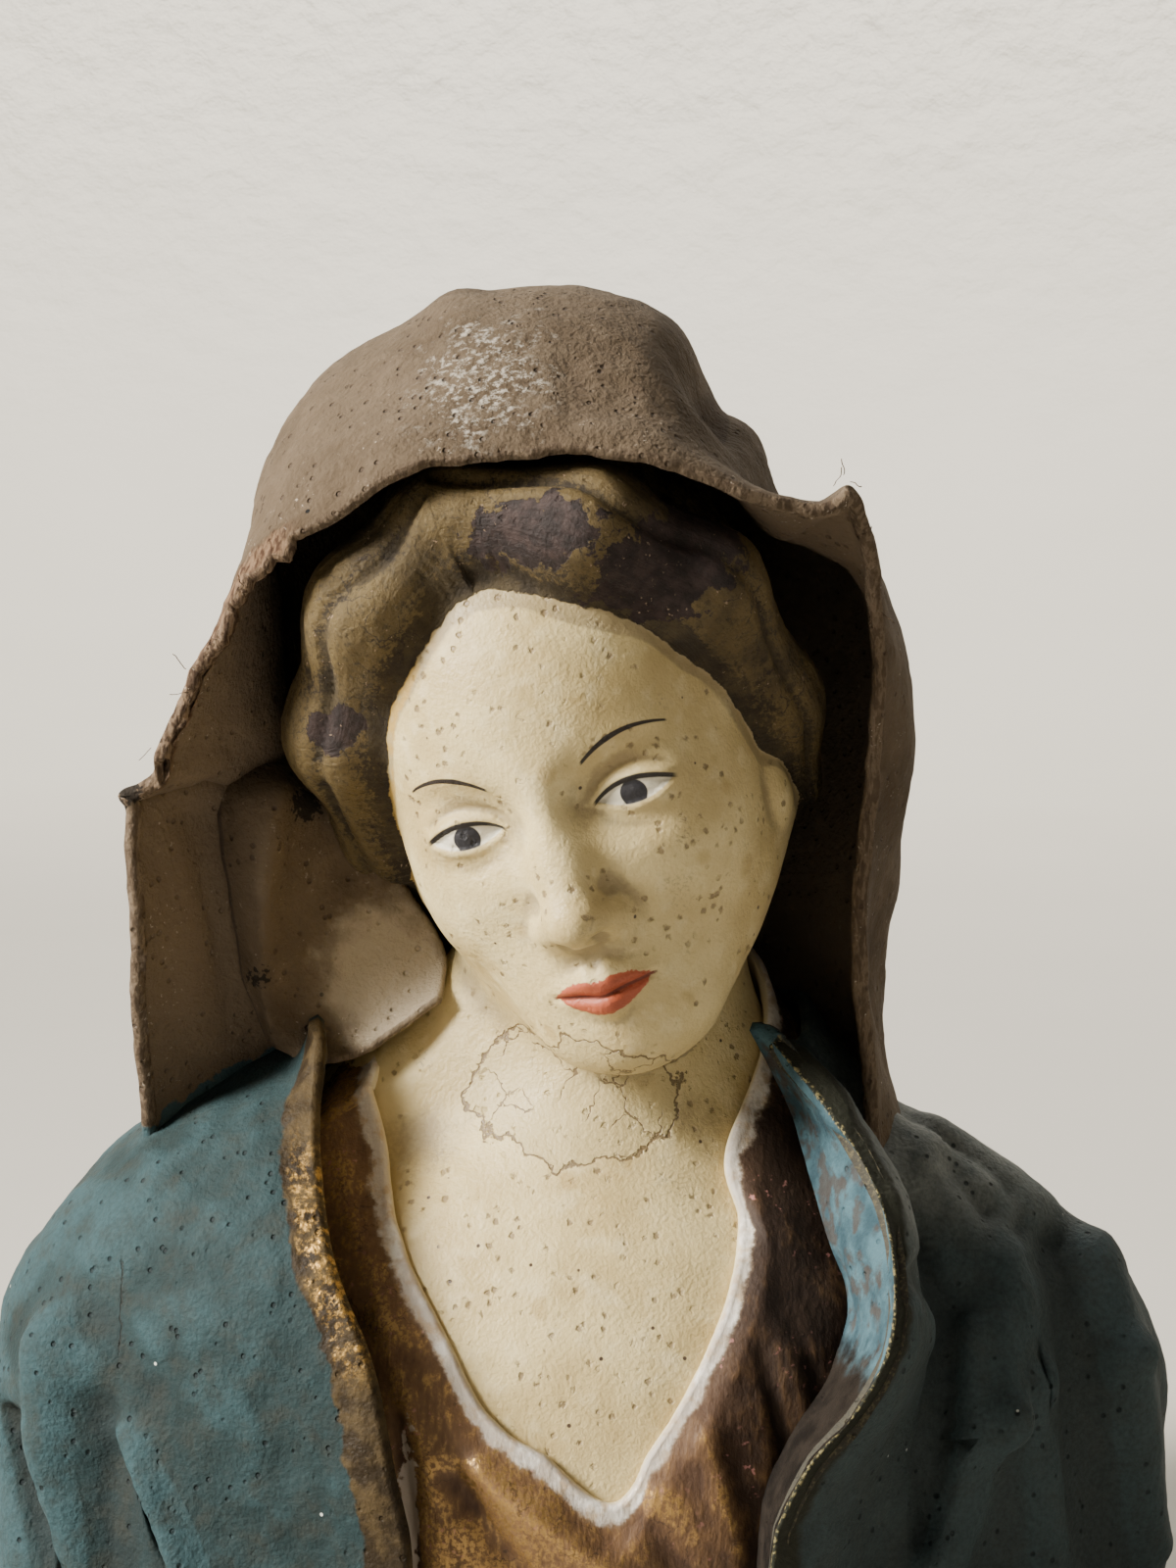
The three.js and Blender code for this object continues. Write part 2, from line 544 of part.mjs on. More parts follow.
const colours = { skin: 0xd8c9a0, robe: 0x5a4028, mantle: 0x4a7580, veil: 0x8a7d70 };
const group = new THREE.Group();
group.name = "madonna_bust";
function addPiece(name, geometry, color, roughness = 0.75, metalness = 0) {
  const mesh = new THREE.Mesh(geometry, new THREE.MeshStandardMaterial({ color, roughness, metalness }));
  mesh.name = name;
  group.add(mesh);
}
const figureRoom = solidOf(figureSolid(GAP));
const robeSheet = robe();
const robeRoom = solidOf(thicken(robeSheet, GAP, ROBE_CLOTH + GAP));
const robeSolid = solidOf(thicken(robeSheet, 0, ROBE_CLOTH)).subtract(figureRoom);
const mantle = mantleSheet();
const mantleSolid = solidOf(thicken(mantle, 0, CLOTH)).subtract(robeRoom).subtract(figureRoom);
const mantleRoom = solidOf(thicken(mantle, GAP, CLOTH + GAP)).add(solidOf(mantleSpace()));
const veilSolid = solidOf(thicken(veilSheet(), 0, CLOTH)).subtract(mantleRoom).subtract(figureRoom);
addPiece("head_and_chest", figureSolid(), colours.skin);
addPiece("robe", geometryFrom(robeSolid), colours.robe);
addPiece("mantle", geometryFrom(mantleSolid), colours.mantle);
addPiece("veil", geometryFrom(veilSolid), colours.veil);

export default group;
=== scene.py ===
"""The looks of a bust of a madonna figurine: painted terracotta, dressed in cloth stiffened with glue.

Shapes are worked out in millimetres in the part's frame: +Z up, the face towards -Y, left is -X.
Meshes are made in metres.
"""
import math

import bpy
import numpy as np
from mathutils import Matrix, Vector


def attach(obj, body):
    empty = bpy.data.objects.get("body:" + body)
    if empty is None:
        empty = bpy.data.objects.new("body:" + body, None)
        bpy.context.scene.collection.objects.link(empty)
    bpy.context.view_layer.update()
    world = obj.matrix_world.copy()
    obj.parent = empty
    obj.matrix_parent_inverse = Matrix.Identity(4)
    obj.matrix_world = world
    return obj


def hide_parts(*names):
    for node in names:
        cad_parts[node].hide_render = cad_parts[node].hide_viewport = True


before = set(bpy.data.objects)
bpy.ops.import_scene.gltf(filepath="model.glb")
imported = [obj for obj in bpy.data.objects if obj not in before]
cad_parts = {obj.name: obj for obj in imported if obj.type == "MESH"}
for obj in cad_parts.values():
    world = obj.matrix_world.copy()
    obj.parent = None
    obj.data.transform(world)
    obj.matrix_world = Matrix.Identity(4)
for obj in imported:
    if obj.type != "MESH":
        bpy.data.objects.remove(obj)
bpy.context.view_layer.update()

# Driving dimensions, in millimetres
HEAD_HEIGHT = 54.0  # chin to crown, without the hair
NECK_SOFTNESS = 2.5  # with which head and neck join
HEAD_CENTRE = (-1, 0, 83)  # between the eyes and the back of the skull, at eye level
HEAD_YAW, HEAD_PITCH, HEAD_ROLL = -12, 10, -19  # degrees: towards the left, bowed, leaning left
CLOTH = 1.5  # thickness of the mantle and the veil
ROBE_CLOTH = 1.2
EDGE_BULGE = 0.35  # of cloth edges, as a share of the thickness
ROBE_ROOM = 1.1  # between the body and the inside of the robe
GAP = 0.3
CLEARANCE = GAP + CLOTH + 0.7  # from a surface to the outside of the cloth on it, with room for facets
VEIL_CENTRE = (0, 5, 84)
SHOULDER_CENTRE = (0, 5, 20)
MANTLE_OVAL = {"left": 58.5, "right": 57, "front": 27, "back": 28, "up": 36}
VEIL_OVAL = {"left": 30, "right": 32, "front": 31, "back": 27, "up": 44}
VEIL_LEAN = -10  # degrees that its dome leans to the left

DETAIL = 1.0  # share of the final number of rows and columns
GROUND = 0.02  # points below this are on the flat cut and stay there
RAY = {"steps": 160, "share": 0.75, "near": 0.005, "least": 0.5}  # how rays are followed down to a surface
UP = np.array([0, 0, 1.0])


def scaled(count):
    return max(int(count * DETAIL), 1)


# Vectors and curves

def size(a):
    return np.sqrt(np.einsum("...i,...i", a, a))


def unit(a):
    return a / np.maximum(size(a), 1e-12)[..., None]


def smoothstep(x, low, high):
    t = np.clip((x - low) / (high - low), 0, 1)
    return t * t * (3 - 2 * t)


def bump(x, width):
    return np.exp(-((x / width) ** 2))


def lerp(a, b, t):
    return a + (b - a) * t


def curve_through(points, t):
    """Points of a smooth curve through the given ones, for t from 0 to 1."""
    points = np.array(points, float)
    ends = [2 * points[0] - points[1], *points, 2 * points[-1] - points[-2]]
    padded = np.array(ends)
    last = len(points) - 1
    place = np.clip(np.asarray(t, float), 0, 1) * last
    i = np.minimum(place.astype(int), last - 1)
    f = (place - i)[..., None]
    a, b, c, d = padded[i], padded[i + 1], padded[i + 2], padded[i + 3]
    return b + 0.5 * f * (c - a + f * (2 * a - 5 * b + 4 * c - d + f * (3 * (b - c) + d - a)))


def noise(p, cell, seed=0):
    """Smooth value noise from -1 to 1, with lumps about a cell wide."""
    q = p / cell + seed * 17.3
    i = np.floor(q).astype(np.int64)
    f = q - i
    f = f * f * (3 - 2 * f)
    total = np.zeros(p.shape[:-1])
    for corner in range(8):
        step = np.array([corner & 1, corner >> 1 & 1, corner >> 2 & 1])
        k = i + step
        h = (k[..., 0] * 73856093) ^ (k[..., 1] * 19349663) ^ (k[..., 2] * 83492791) ^ (seed * 2654435761)
        h = (h ^ (h >> 13)) * 1274126177 & 0x7FFFFFFF
        weight = np.prod(np.where(step, f, 1 - f), axis=-1)
        total += weight * ((h % 65536) / 32767.5 - 1)
    return total


def rough(p, cell, seed=0, octaves=3):
    return sum(noise(p, cell / 2**k, seed + k) / 2**k for k in range(octaves))


# Distance fields: negative inside a form

def ball(centre, radii):
    centre, radii = np.array(centre, float), np.array(radii, float)

    def field(p):
        q = (p - centre) / radii
        near = size(q)
        return near * (near - 1) / np.maximum(size(q / radii), 1e-9)

    return field


def limb(start, end, start_radius, end_radius):
    start, end = np.array(start, float), np.array(end, float)
    d = end - start

    def field(p):
        t = np.clip((p - start) @ d / (d @ d), 0, 1)
        return size(p - start - t[..., None] * d) - lerp(start_radius, end_radius, t)

    return field


def join(a, b, soft):
    return np.minimum(a, b) - np.maximum(soft - np.abs(a - b), 0) ** 2 / (4 * soft)


def carve(a, b, soft):
    return -join(-a, b, soft)


def sculpt(forms, p, start=None):
    d = start
    for form, soft in forms:
        d = form(p) if d is None else join(d, form(p), soft)
    return d


def mirrored(make):
    return [make(-1), make(1)]


def roll(path, radii, soft=7):
    return [(limb(*ends, *widths), soft) for ends, widths in zip(zip(path, path[1:]), zip(radii, radii[1:]))]


# The head in its own frame, in hundredths of its height: eyes at z = 0, chin at -50, crown at 50, face to -y
SKIN = [
    (ball((0, 4, 9), (35, 41, 41)), 1),  # cranium
    (ball((0, -7, -13), (28.5, 29, 33)), 10),  # face
    *mirrored(lambda s: (ball((s * 14.5, -16, -13), (13.5, 15, 16)), 10)),  # cheeks
    *mirrored(lambda s: (limb((s * 26, 4, -18), (s * 9, -24, -40), 8, 7.5), 9)),  # jaw
    (ball((0, -27.5, -42.5), (9.5, 9.5, 7.5)), 8),  # chin
    (limb((0, -31, 7), (0, -41, -16), 4.2, 4.6), 6),  # nose
    (ball((0, -41.5, -17), (4.6, 4.6, 4.2)), 3),  # its tip
    *mirrored(lambda s: (ball((s * 5.2, -36, -18.3), (3.2, 4.6, 3.2)), 3)),  # nostril wings
    (ball((0, -25, -30), (15, 12.5, 12)), 9),  # the roundness behind the lips
]
SOCKETS = mirrored(lambda s: (ball((s * 15, -38, 1), (10, 6, 6)), 7))
LIDS = mirrored(lambda s: (ball((s * 15, -26, -0.5), (8.5, 8, 6.8)), 2.5))
LIPS = [
    *mirrored(lambda s: (limb((s * 1.6, -38.2, -28.6), (s * 9.5, -34.2, -30.4), 1.9, 0.6), 2.5)),
    *mirrored(lambda s: (limb((0, -37.2, -32.8), (s * 6.5, -35.2, -32), 2.4, 1.2), 2.5)),
]
EAR_LOBES = mirrored(lambda s: (ball((s * 32, -4, -14), (3, 4.5, 7)), 3))
LEFT_ROLL = [(-7, -17, 48.5), (-21, -18.5, 39), (-34, -11, 18), (-38, 0, -4), (-33, 9, -20)]
RIGHT_ROLL = [(1, -17, 49.5), (19, -20, 42.5), (33, -11.5, 25), (36, 1, 0), (33, 10, -18)]
HAIR = [
    (ball((0, 10, 15), (38, 40, 45.5)), 1),  # the hair drawn back over the skull
    *roll(LEFT_ROLL, (9, 10.5, 11, 8, 6)),
    *roll(RIGHT_ROLL, (9, 9.5, 9.5, 8, 6)),
]


def skin(q):
    d = sculpt(SKIN, q)
    for socket, soft in SOCKETS:
        d = carve(d, socket(q), soft)
    return sculpt(LIDS + LIPS + EAR_LOBES, q, d)


def hair(q):
    return sculpt(HAIR, q)


def turned(axis, degrees):
    c, s = math.cos(math.radians(degrees)), math.sin(math.radians(degrees))
    i, j = [(1, 2), (2, 0), (0, 1)][axis]
    m = np.eye(3)
    m[i, i], m[j, j], m[i, j], m[j, i] = c, c, -s, s
    return m


HEAD_MATRIX = turned(1, HEAD_ROLL) @ turned(0, HEAD_PITCH) @ turned(2, HEAD_YAW)
UNIT = HEAD_HEIGHT / 100  # millimetres to a hundredth of the head's height


def from_head(q):
    return np.asarray(q, float) @ (HEAD_MATRIX.T * UNIT) + HEAD_CENTRE


def to_head(p):
    return (p - np.array(HEAD_CENTRE)) @ HEAD_MATRIX / UNIT


# Neck, chest, shoulders and arms. The left arm is brought forward under the mantle.
ARMS = [
    limb((-37, 8, 24), (-41, 6.5, -10), 12.5, 13.5),
    limb((-35, 0, 26), (-33, -3.5, -10), 8.5, 10.5),
    limb((35, 7, 22), (39, 5, -10), 11.5, 14),
]
BODY = [
    (limb(from_head((0, 9, -20)), (1, 7, 46), 12, 12.4), 1),  # neck
    (ball((0, 4.5, 14), (37, 24.5, 36)), 9),  # chest
    *mirrored(lambda s: (limb((s * 5, 8, 60), (s * 25, 8, 36 - s * 5), 7.5, 8), 7)),  # slope of the shoulders
    (limb((-34, 8, 33), (34, 8, 24), 11.5, 10.5), 8),
    *[(arm, 8) for arm in ARMS],
]


def body(p):
    return sculpt(BODY, p)


def figure(p):
    q = to_head(p)
    return join(np.minimum(skin(q), hair(q)) * UNIT, body(p), NECK_SOFTNESS)


def robed(p):
    return body(p) - ROBE_ROOM - ROBE_CLOTH


def reach(field, start, direction, far=75.0):
    """How far along each ray, coming from outside, the field is first reached."""
    shape = direction.shape[:-1]
    start = np.broadcast_to(start, direction.shape).reshape(-1, 3)
    direction = direction.reshape(-1, 3)
    near, least = RAY["near"], RAY["least"]
    t = np.full(len(direction), float(far))
    active = np.arange(len(t))
    for _ in range(RAY["steps"]):
        d = field(start[active] + direction[active] * t[active, None])
        t[active] -= np.where(d > near, np.maximum(RAY["share"] * d, near), 0)
        active = active[(d > near) & (t[active] > least)]
        if not active.size:
            break
    return np.maximum(t, least).reshape(shape)


# Meshes

def vertex_normals(points, faces):
    a, b, c, d = (points[faces[:, k]] for k in range(4))
    face = np.cross(c - a, d - b)
    total = np.zeros_like(points)
    for k in range(4):
        np.add.at(total, faces[:, k], face)
    return unit(total)


def grid_faces(rows, columns, closed=False):
    wide = columns if closed else columns - 1
    i, j = np.meshgrid(np.arange(rows - 1), np.arange(wide), indexing="ij")
    a = i * columns + j
    b = i * columns + (j + 1) % columns
    return np.stack([a, a + columns, b + columns, b], -1).reshape(-1, 4)


def compact(points, faces, attributes):
    """Leaves out the points that no face uses."""
    used = np.unique(faces)
    index = np.zeros(len(points), int)
    index[used] = np.arange(len(used))
    return points[used], index[faces], {key: values[used] for key, values in attributes.items()}


def hollowness(points, faces, shape, closed, cells):
    """How far the places that many cells away stand out from each place, in millimetres."""
    rows, columns = shape
    cells = scaled(cells)
    grid = points[:rows * columns].reshape(rows, columns, 3)
    normals = vertex_normals(points, faces)[:rows * columns].reshape(rows, columns, 3)
    i, j = np.arange(rows), np.arange(columns)
    around = grid[np.clip(i - cells, 0, rows - 1)] + grid[np.clip(i + cells, 0, rows - 1)]
    for beside in (j - cells, j + cells):
        around = around + grid[:, beside % columns if closed else np.clip(beside, 0, columns - 1)]
    found = np.einsum("ijk,ijk->ij", around / 4 - grid, normals).ravel()
    return np.concatenate([found, np.zeros(len(points) - rows * columns)])


def raised(points, normals, height):
    """Points moved out by a height each, but only sideways where the cut is flat."""
    moved = points + normals * height[:, None]
    moved[:, 2] = np.where(points[:, 2] < GROUND, points[:, 2], moved[:, 2])
    return moved


def travelled(points, shape, axis, start=0):
    """How far each place of a grid is from one of its rows or columns, along the other way."""
    grid = points.reshape(*shape, 3)
    steps = size(np.diff(grid, axis=axis))
    far = np.concatenate([np.zeros_like(steps.take([0], axis)), np.cumsum(steps, axis)], axis)
    return (far - far.take([start], axis)).ravel()


def make_piece(name, points, faces, attributes, node, slot_name, material):
    """A smooth mesh in metres, which stands for a node and takes the given material. The slot's name is not
    used.
    """
    mesh = bpy.data.meshes.new(name)
    faces = [list(dict.fromkeys(f)) for f in faces.tolist()]
    mesh.from_pydata((points * 0.001).tolist(), [], [f for f in faces if len(f) > 2])
    for key, values in attributes.items():
        kind = "FLOAT_VECTOR" if values.ndim == 2 else "FLOAT"
        layer = mesh.attributes.new(key, kind, "POINT")
        layer.data.foreach_set("vector" if values.ndim == 2 else "value", values.astype(np.float32).ravel())
    mesh.shade_smooth()
    mesh.materials.append(material)
    piece = bpy.data.objects.new(name, mesh)
    bpy.context.scene.collection.objects.link(piece)
    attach(piece, "root")
    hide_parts(node)


def thicken(points, faces, attributes, thickness, normals=None):
    """A sheet made into cloth with round edges. The mark side is 0 outside, 1 inside and 0.5 on the edges."""
    count = len(points)
    if normals is None:
        normals = vertex_normals(points, faces)
    inner = points - normals * thickness
    edges = np.concatenate([np.stack([faces[:, k], faces[:, (k + 1) % 4]], -1) for k in range(4)])
    edges = edges[edges[:, 0] != edges[:, 1]]
    there = edges[:, 0] * count + edges[:, 1]
    back = edges[:, 1] * count + edges[:, 0]
    border = edges[~np.isin(there, back)]
    outward = unit(np.cross(points[border[:, 1]] - points[border[:, 0]], normals[border[:, 0]]))
    tangent = np.zeros_like(points)
    np.add.at(tangent, border[:, 0], outward)
    np.add.at(tangent, border[:, 1], outward)
    rim = np.unique(border)
    rim_index = np.full(count, -1)
    rim_index[rim] = 2 * count + np.arange(len(rim))
    edge_points = (points[rim] + inner[rim]) / 2 + unit(tangent[rim]) * thickness * EDGE_BULGE
    a, b = border[:, 0], border[:, 1]
    faces = np.concatenate([
        faces,
        faces[:, ::-1] + count,
        np.stack([b, a, rim_index[a], rim_index[b]], -1),
        np.stack([rim_index[b], rim_index[a], a + count, b + count], -1),
    ])
    everything = np.concatenate([points, inner, edge_points])
    everything[:, 2] = np.where(everything[:, 2] < GROUND, 0, everything[:, 2])
    spread = {key: np.concatenate([v, v, v[rim]]) for key, v in attributes.items()}
    spread["side"] = np.concatenate([np.zeros(count), np.ones(count), np.full(len(rim), 0.5)])
    return everything, faces, spread


def merged(*sheets):
    """Several meshes with the same attributes as one."""
    points, faces, attributes = zip(*sheets)
    before = np.cumsum([0, *map(len, points)])
    faces = np.concatenate([part + first for part, first in zip(faces, before)])
    together = {key: np.concatenate([part[key] for part in attributes]) for key in attributes[0]}
    return np.concatenate(points), faces, together


# Places on the sheets: a turn round the centre's upright axis in degrees from straight ahead, positive to the
# right, and a lift in degrees above the centre's level, or in millimetres below it where negative

def ray_at(centre, turn, lift):
    turn, up = np.radians(turn), np.radians(np.maximum(lift, 0))
    direction = np.stack([np.sin(turn) * np.cos(up), -np.cos(turn) * np.cos(up), np.sin(up)], -1)
    start = np.array(centre, float) + np.minimum(lift, 0)[..., None] * UP
    return start, direction


def place_of(centre, p):
    q = p - np.array(centre, float)
    flat = np.hypot(q[..., 0], q[..., 1])
    above = q[..., 2] > 0
    lift = np.where(above, np.degrees(np.arctan2(q[..., 2], flat)), q[..., 2])
    return np.degrees(np.arctan2(q[..., 0], -q[..., 1])), lift, np.where(above, size(q), flat)


def oval_reach(d, oval, power=2.0):
    x = np.where(d[..., 0] < 0, oval["left"], oval["right"])
    y = np.where(d[..., 1] < 0, oval["front"], oval["back"])
    across, along, up = (np.abs(d[..., k] / radius) ** power for k, radius in enumerate((x, y, oval["up"])))
    return (across + along + up) ** (-1 / power)


def fold_height(p, folds):
    return sum(height * bump(limb(start, end, 0, 0)(p), width) for start, end, width, height in folds)


# The head and chest: rows of rays round an axis that bends from the head's own to the upright one.
# Each key gives a centre, the row's up direction and how many rows lead to the next key.
HEAD_UP = HEAD_MATRIX @ UP
ROW_KEYS = [
    (from_head((0, 2, 14)), HEAD_UP, 116),
    (from_head((0, 0, -40)), HEAD_UP, 25),
    (from_head((0, 4, -56)), lerp(HEAD_UP, UP, 0.6), 16),
    (np.array([1.0, 6, 48]), UP, 60),
    (np.array([0, 5.0, 16]), UP, 12),
    (np.array([0, 5.0, 0]), UP, 1),
]
CAP_ROWS = 60
FIGURE_COLUMNS = 336
CROWDING = 0.5  # how far the columns of a ring draw together in front
FIGURE_FAR = 62  # from its axis to outside it


def head_right(up):
    """Right of the head, kept square to a row's up direction."""
    right = HEAD_MATRIX @ np.array([1.0, 0, 0])
    level = np.clip((up[2] / size(up) - HEAD_UP[2]) / (1 - HEAD_UP[2]), 0, 1)
    right = lerp(right, np.array([1.0, 0, 0]), level)
    normal = up / size(up)
    return unit(right - (right @ normal) * normal)


def figure_mesh():
    columns, cap = scaled(FIGURE_COLUMNS), scaled(CAP_ROWS)
    rings = [(ROW_KEYS[0][0], HEAD_UP, math.pi / 2 * (1 - (i + 0.15) / cap)) for i in range(cap)]
    for k, (centre, up, rows) in enumerate(ROW_KEYS):
        after = ROW_KEYS[min(k + 1, len(ROW_KEYS) - 1)]
        rows = scaled(rows)
        rings += [(lerp(centre, after[0], i / rows), lerp(up, after[1], i / rows), 0) for i in range(rows)]
    t = 2 * np.arange(columns) / columns - 1
    turn = math.pi * t - CROWDING * np.sin(math.pi * t)
    starts, directions = [], []
    for centre, up, elevation in rings:
        normal, right = unit(up), head_right(up)
        back = np.cross(normal, right)
        flat = np.outer(np.sin(turn), right) - np.outer(np.cos(turn), back)
        directions.append(flat * math.cos(elevation) + normal * math.sin(elevation))
        starts.append(np.repeat([centre], columns, 0))
    starts, directions = np.concatenate(starts), np.concatenate(directions)
    points = starts + directions * reach(figure, starts, directions, FIGURE_FAR)[:, None]
    top = ROW_KEYS[0][0][None]
    crown = top + HEAD_UP * reach(figure, top, HEAD_UP[None], FIGURE_FAR)[:, None]
    foot = ROW_KEYS[-1][0][None]
    faces = grid_faces(len(rings), columns, True)
    j = np.arange(columns)
    following = (j + 1) % columns
    last = len(points) - columns
    crown_index, foot_index = np.full(columns, len(points)), np.full(columns, len(points) + 1)
    faces = np.concatenate([
        faces,
        np.stack([crown_index, j, following, following], -1),
        np.stack([last + j, foot_index, last + following, last + following], -1),
    ])
    return np.concatenate([points, crown, foot]), faces, (len(rings), columns)


# The face's own detail, in the head's frame. Eyes, brows and lips are the same on both sides.
EYE = {"x": 15, "z": -0.3, "half": 6.8, "upper": 2.3, "lower": 2.0, "iris": 2.5}


def face_marks(q):
    """Distances inside the painted parts of the face, and the height of its fine relief."""
    front = smoothstep(-q[:, 1], 14, 20)
    z = q[:, 2]
    middle = np.abs(q[:, 0])
    x = middle - EYE["x"]
    arc = 1 - (x / EYE["half"]) ** 2
    upper = EYE["upper"] * arc + EYE["z"] + 0.03 * x
    lower = -EYE["lower"] * arc + EYE["z"]
    opening = np.minimum(upper - z, z - lower)
    across = smoothstep(8.2 - np.abs(x), 0, 2)
    relief = -0.8 * smoothstep(opening, -0.25, 0.45)
    relief += 0.3 * smoothstep(opening, -0.2, 0.5) * bump(np.hypot(x, z - EYE["z"]), 4)
    relief += 0.4 * bump(z - upper - 0.7, 0.7) * across
    relief -= 0.55 * bump(z - upper - 2.7, 0.7) * across
    relief += 0.25 * bump(z - lower + 0.7, 0.7) * across
    brow = z - (10.4 - 0.045 * (x - 1.5) ** 2)
    relief += 0.3 * bump(brow, 1.6) * smoothstep(9 - np.abs(x), 0, 3)
    top = -31 + 3.2 * np.maximum(1 - (middle / 9.6) ** 2, 0) ** 0.8 - 0.7 * bump(middle, 1.6)
    bottom = -31.3 - 3.7 * np.maximum(1 - (middle / 8.4) ** 2, 0)
    parting = -31.2 - 0.35 * bump(middle, 3) + 0.4 * (middle / 10) ** 2
    lips = np.minimum(np.minimum(top - z, z - bottom), 9.4 - middle)
    relief += 0.35 * smoothstep(lips, -0.4, 0.8)
    relief -= 0.9 * bump(z - parting, 0.65) * smoothstep(10.6 - middle, 0, 2.5)
    relief -= 0.4 * bump(middle, 1.4) * smoothstep(z, -28.5, -26.5) * smoothstep(-z, 21, 23)
    nostril = np.hypot((middle - 3.1) / 1.3, (z + 20.6) / 0.9)
    relief -= 1.1 * bump(nostril, 1) * smoothstep(-q[:, 1], 33, 36)
    return {
        "opening": np.where(front > 0.5, opening, -5),
        "lid": np.where(front > 0.5, z - upper, 5),
        "iris": EYE["iris"] - np.hypot(x, z - EYE["z"] + 0.2),
        "brow": np.where(front > 0.5, brow, 5),
        "beside": x,
        "lips": np.where(front > 0.5, lips, -5),
        "parting": z - parting,
    }, relief * front


ROLL_SAMPLES = 240
ROLL_REACH = 15  # from a roll's middle to where the hair is combed straight back
ROLL_MIDDLE = (0, 8, 5)  # the point in the skull that the rolls face away from


def roll_frame(q, path):
    """Where places are along a roll of hair, from 0 to 1, round it as an angle, and from its middle."""
    t = np.linspace(0, 1, ROLL_SAMPLES)
    line = curve_through(path, t)
    tangent = unit(np.gradient(line, axis=0))
    near = np.argmin((line**2).sum(1)[None] - 2 * q @ line.T, axis=1)
    out = line - ROLL_MIDDLE
    out = unit(out - np.einsum("ij,ij->i", out, tangent)[:, None] * tangent)
    beside = np.cross(tangent, out)
    away = q - line[near]
    angle = np.arctan2(np.einsum("ij,ij->i", away, beside[near]), np.einsum("ij,ij->i", away, out[near]))
    return t[near], angle, size(away)


def hair_marks(q):
    """The way the hair is combed, as lengths along and across the locks, and the height of its relief."""
    left, right = roll_frame(q, LEFT_ROLL), roll_frame(q, RIGHT_ROLL)
    first = left[2] < right[2]
    t, angle, far = (np.where(first, a, b) for a, b in zip(left, right))
    twist, offset = np.where(first, 0.9, -0.8), np.where(first, 0.35, 0.1)
    turned_angle = angle + twist * t + 0.25 * noise(q, 14, 3) + offset
    in_roll = smoothstep(ROLL_REACH - far, 0, 3.5)
    locks = -1.3 * bump(np.sin(1.5 * turned_angle), 0.2)
    locks -= 0.35 * bump(np.sin(5 * turned_angle + 0.8 * noise(q, 12, 5)), 0.4)
    drawn = -0.8 * bump(np.sin(0.33 * q[:, 0] + 0.6 * noise(q, 16, 7)), 0.35)
    combed = np.stack([lerp(q[:, 1], 70 * t, in_roll), lerp(q[:, 0], 11 * turned_angle, in_roll), 0 * t], -1)
    strands = rough(combed * [0.12, 1, 1], 1.1, 9, 2)
    return combed, lerp(drawn, locks, in_roll) + 0.16 * strands + 0.3 * rough(q, 6, 11, 2)


def fine_head(points, faces):
    """Adds the relief of face and hair, and gives the marks to paint by."""
    q = to_head(points)
    marks, face_relief = face_marks(q)
    combed, hair_relief = hair_marks(q)
    hair_over = (skin(q) - hair(q)) * UNIT
    on_head = smoothstep(1.5 - np.minimum(skin(q), hair(q)), 0, 1)
    in_hair = smoothstep(hair_over, 0, 0.9)
    height = lerp(face_relief, hair_relief, in_hair) * UNIT * on_head
    height += (1 - in_hair) * 0.05 * rough(points, 3, 21)
    height[-1] = 0
    marks.update({"head": q, "combed": combed * UNIT, "hair_over": hair_over})
    return raised(points, vertex_normals(points, faces), height), marks


# The robe: cloth laid close over the body, with a low neckline that rises to the nape
NECKLINE = [(-22, 52), (-20.3, 45.7), (-15.5, 33.1), (-9.9, 23.7), (-3.6, 19.4), (3.6, 16), (9.1, 24.7),
            (14.1, 35), (15.1, 40.7), (14.5, 48)]  # in front from left to right, x and z
NAPE = [(100, 66), (140, 68), (180, 68), (220, 67), (255, 62)]  # round the back, turn and lift


FRONT_FAR = 60  # from the middle of the body to outside it in front


def front_of(field, x, z):
    """Points of a field's surface straight in front of x and z."""
    start = np.stack([x, np.full_like(x, SHOULDER_CENTRE[1]), z], -1)
    ahead = np.broadcast_to([0, -1.0, 0], start.shape)
    return start + ahead * reach(field, start, ahead, FRONT_FAR)[..., None]


def neckline_points():
    x, z = np.array(NECKLINE, float).T
    turn, lift, _ = place_of(SHOULDER_CENTRE, front_of(robed, x, z))
    return np.concatenate([np.stack([turn, lift, 0 * turn], -1), [(a, b, 0) for a, b in NAPE]])


# Its folds in front: from, to, half-width and height
ROBE_FOLDS = [
    ((-9.5, -21, 19), (2.5, -23, 9), 1.7, 1.1),
    ((-12.5, -21, 17.5), (-3.6, -22.5, 6), 1.5, -1.0),
    ((-17.4, -18, 23), (-16, -21, 6), 0.8, -1.0),
    ((-19, -15, 31), (-13.5, -20, 17), 1.8, 0.7),
    ((15.5, -18, 34), (19.5, -20, 17), 1.0, -0.9),
    ((17.2, -17, 35), (21.5, -19, 20), 0.9, 0.6),
    ((19, -16, 35), (23, -18, 21), 0.9, -0.7),
    ((6, -23, 14), (13, -22, 2), 1.8, -0.8),
    ((11, -21, 22), (15.5, -21, 3), 1.6, 0.6),
]


NECK_DRAWN_IN = {"by": 1.0, "over": 5}


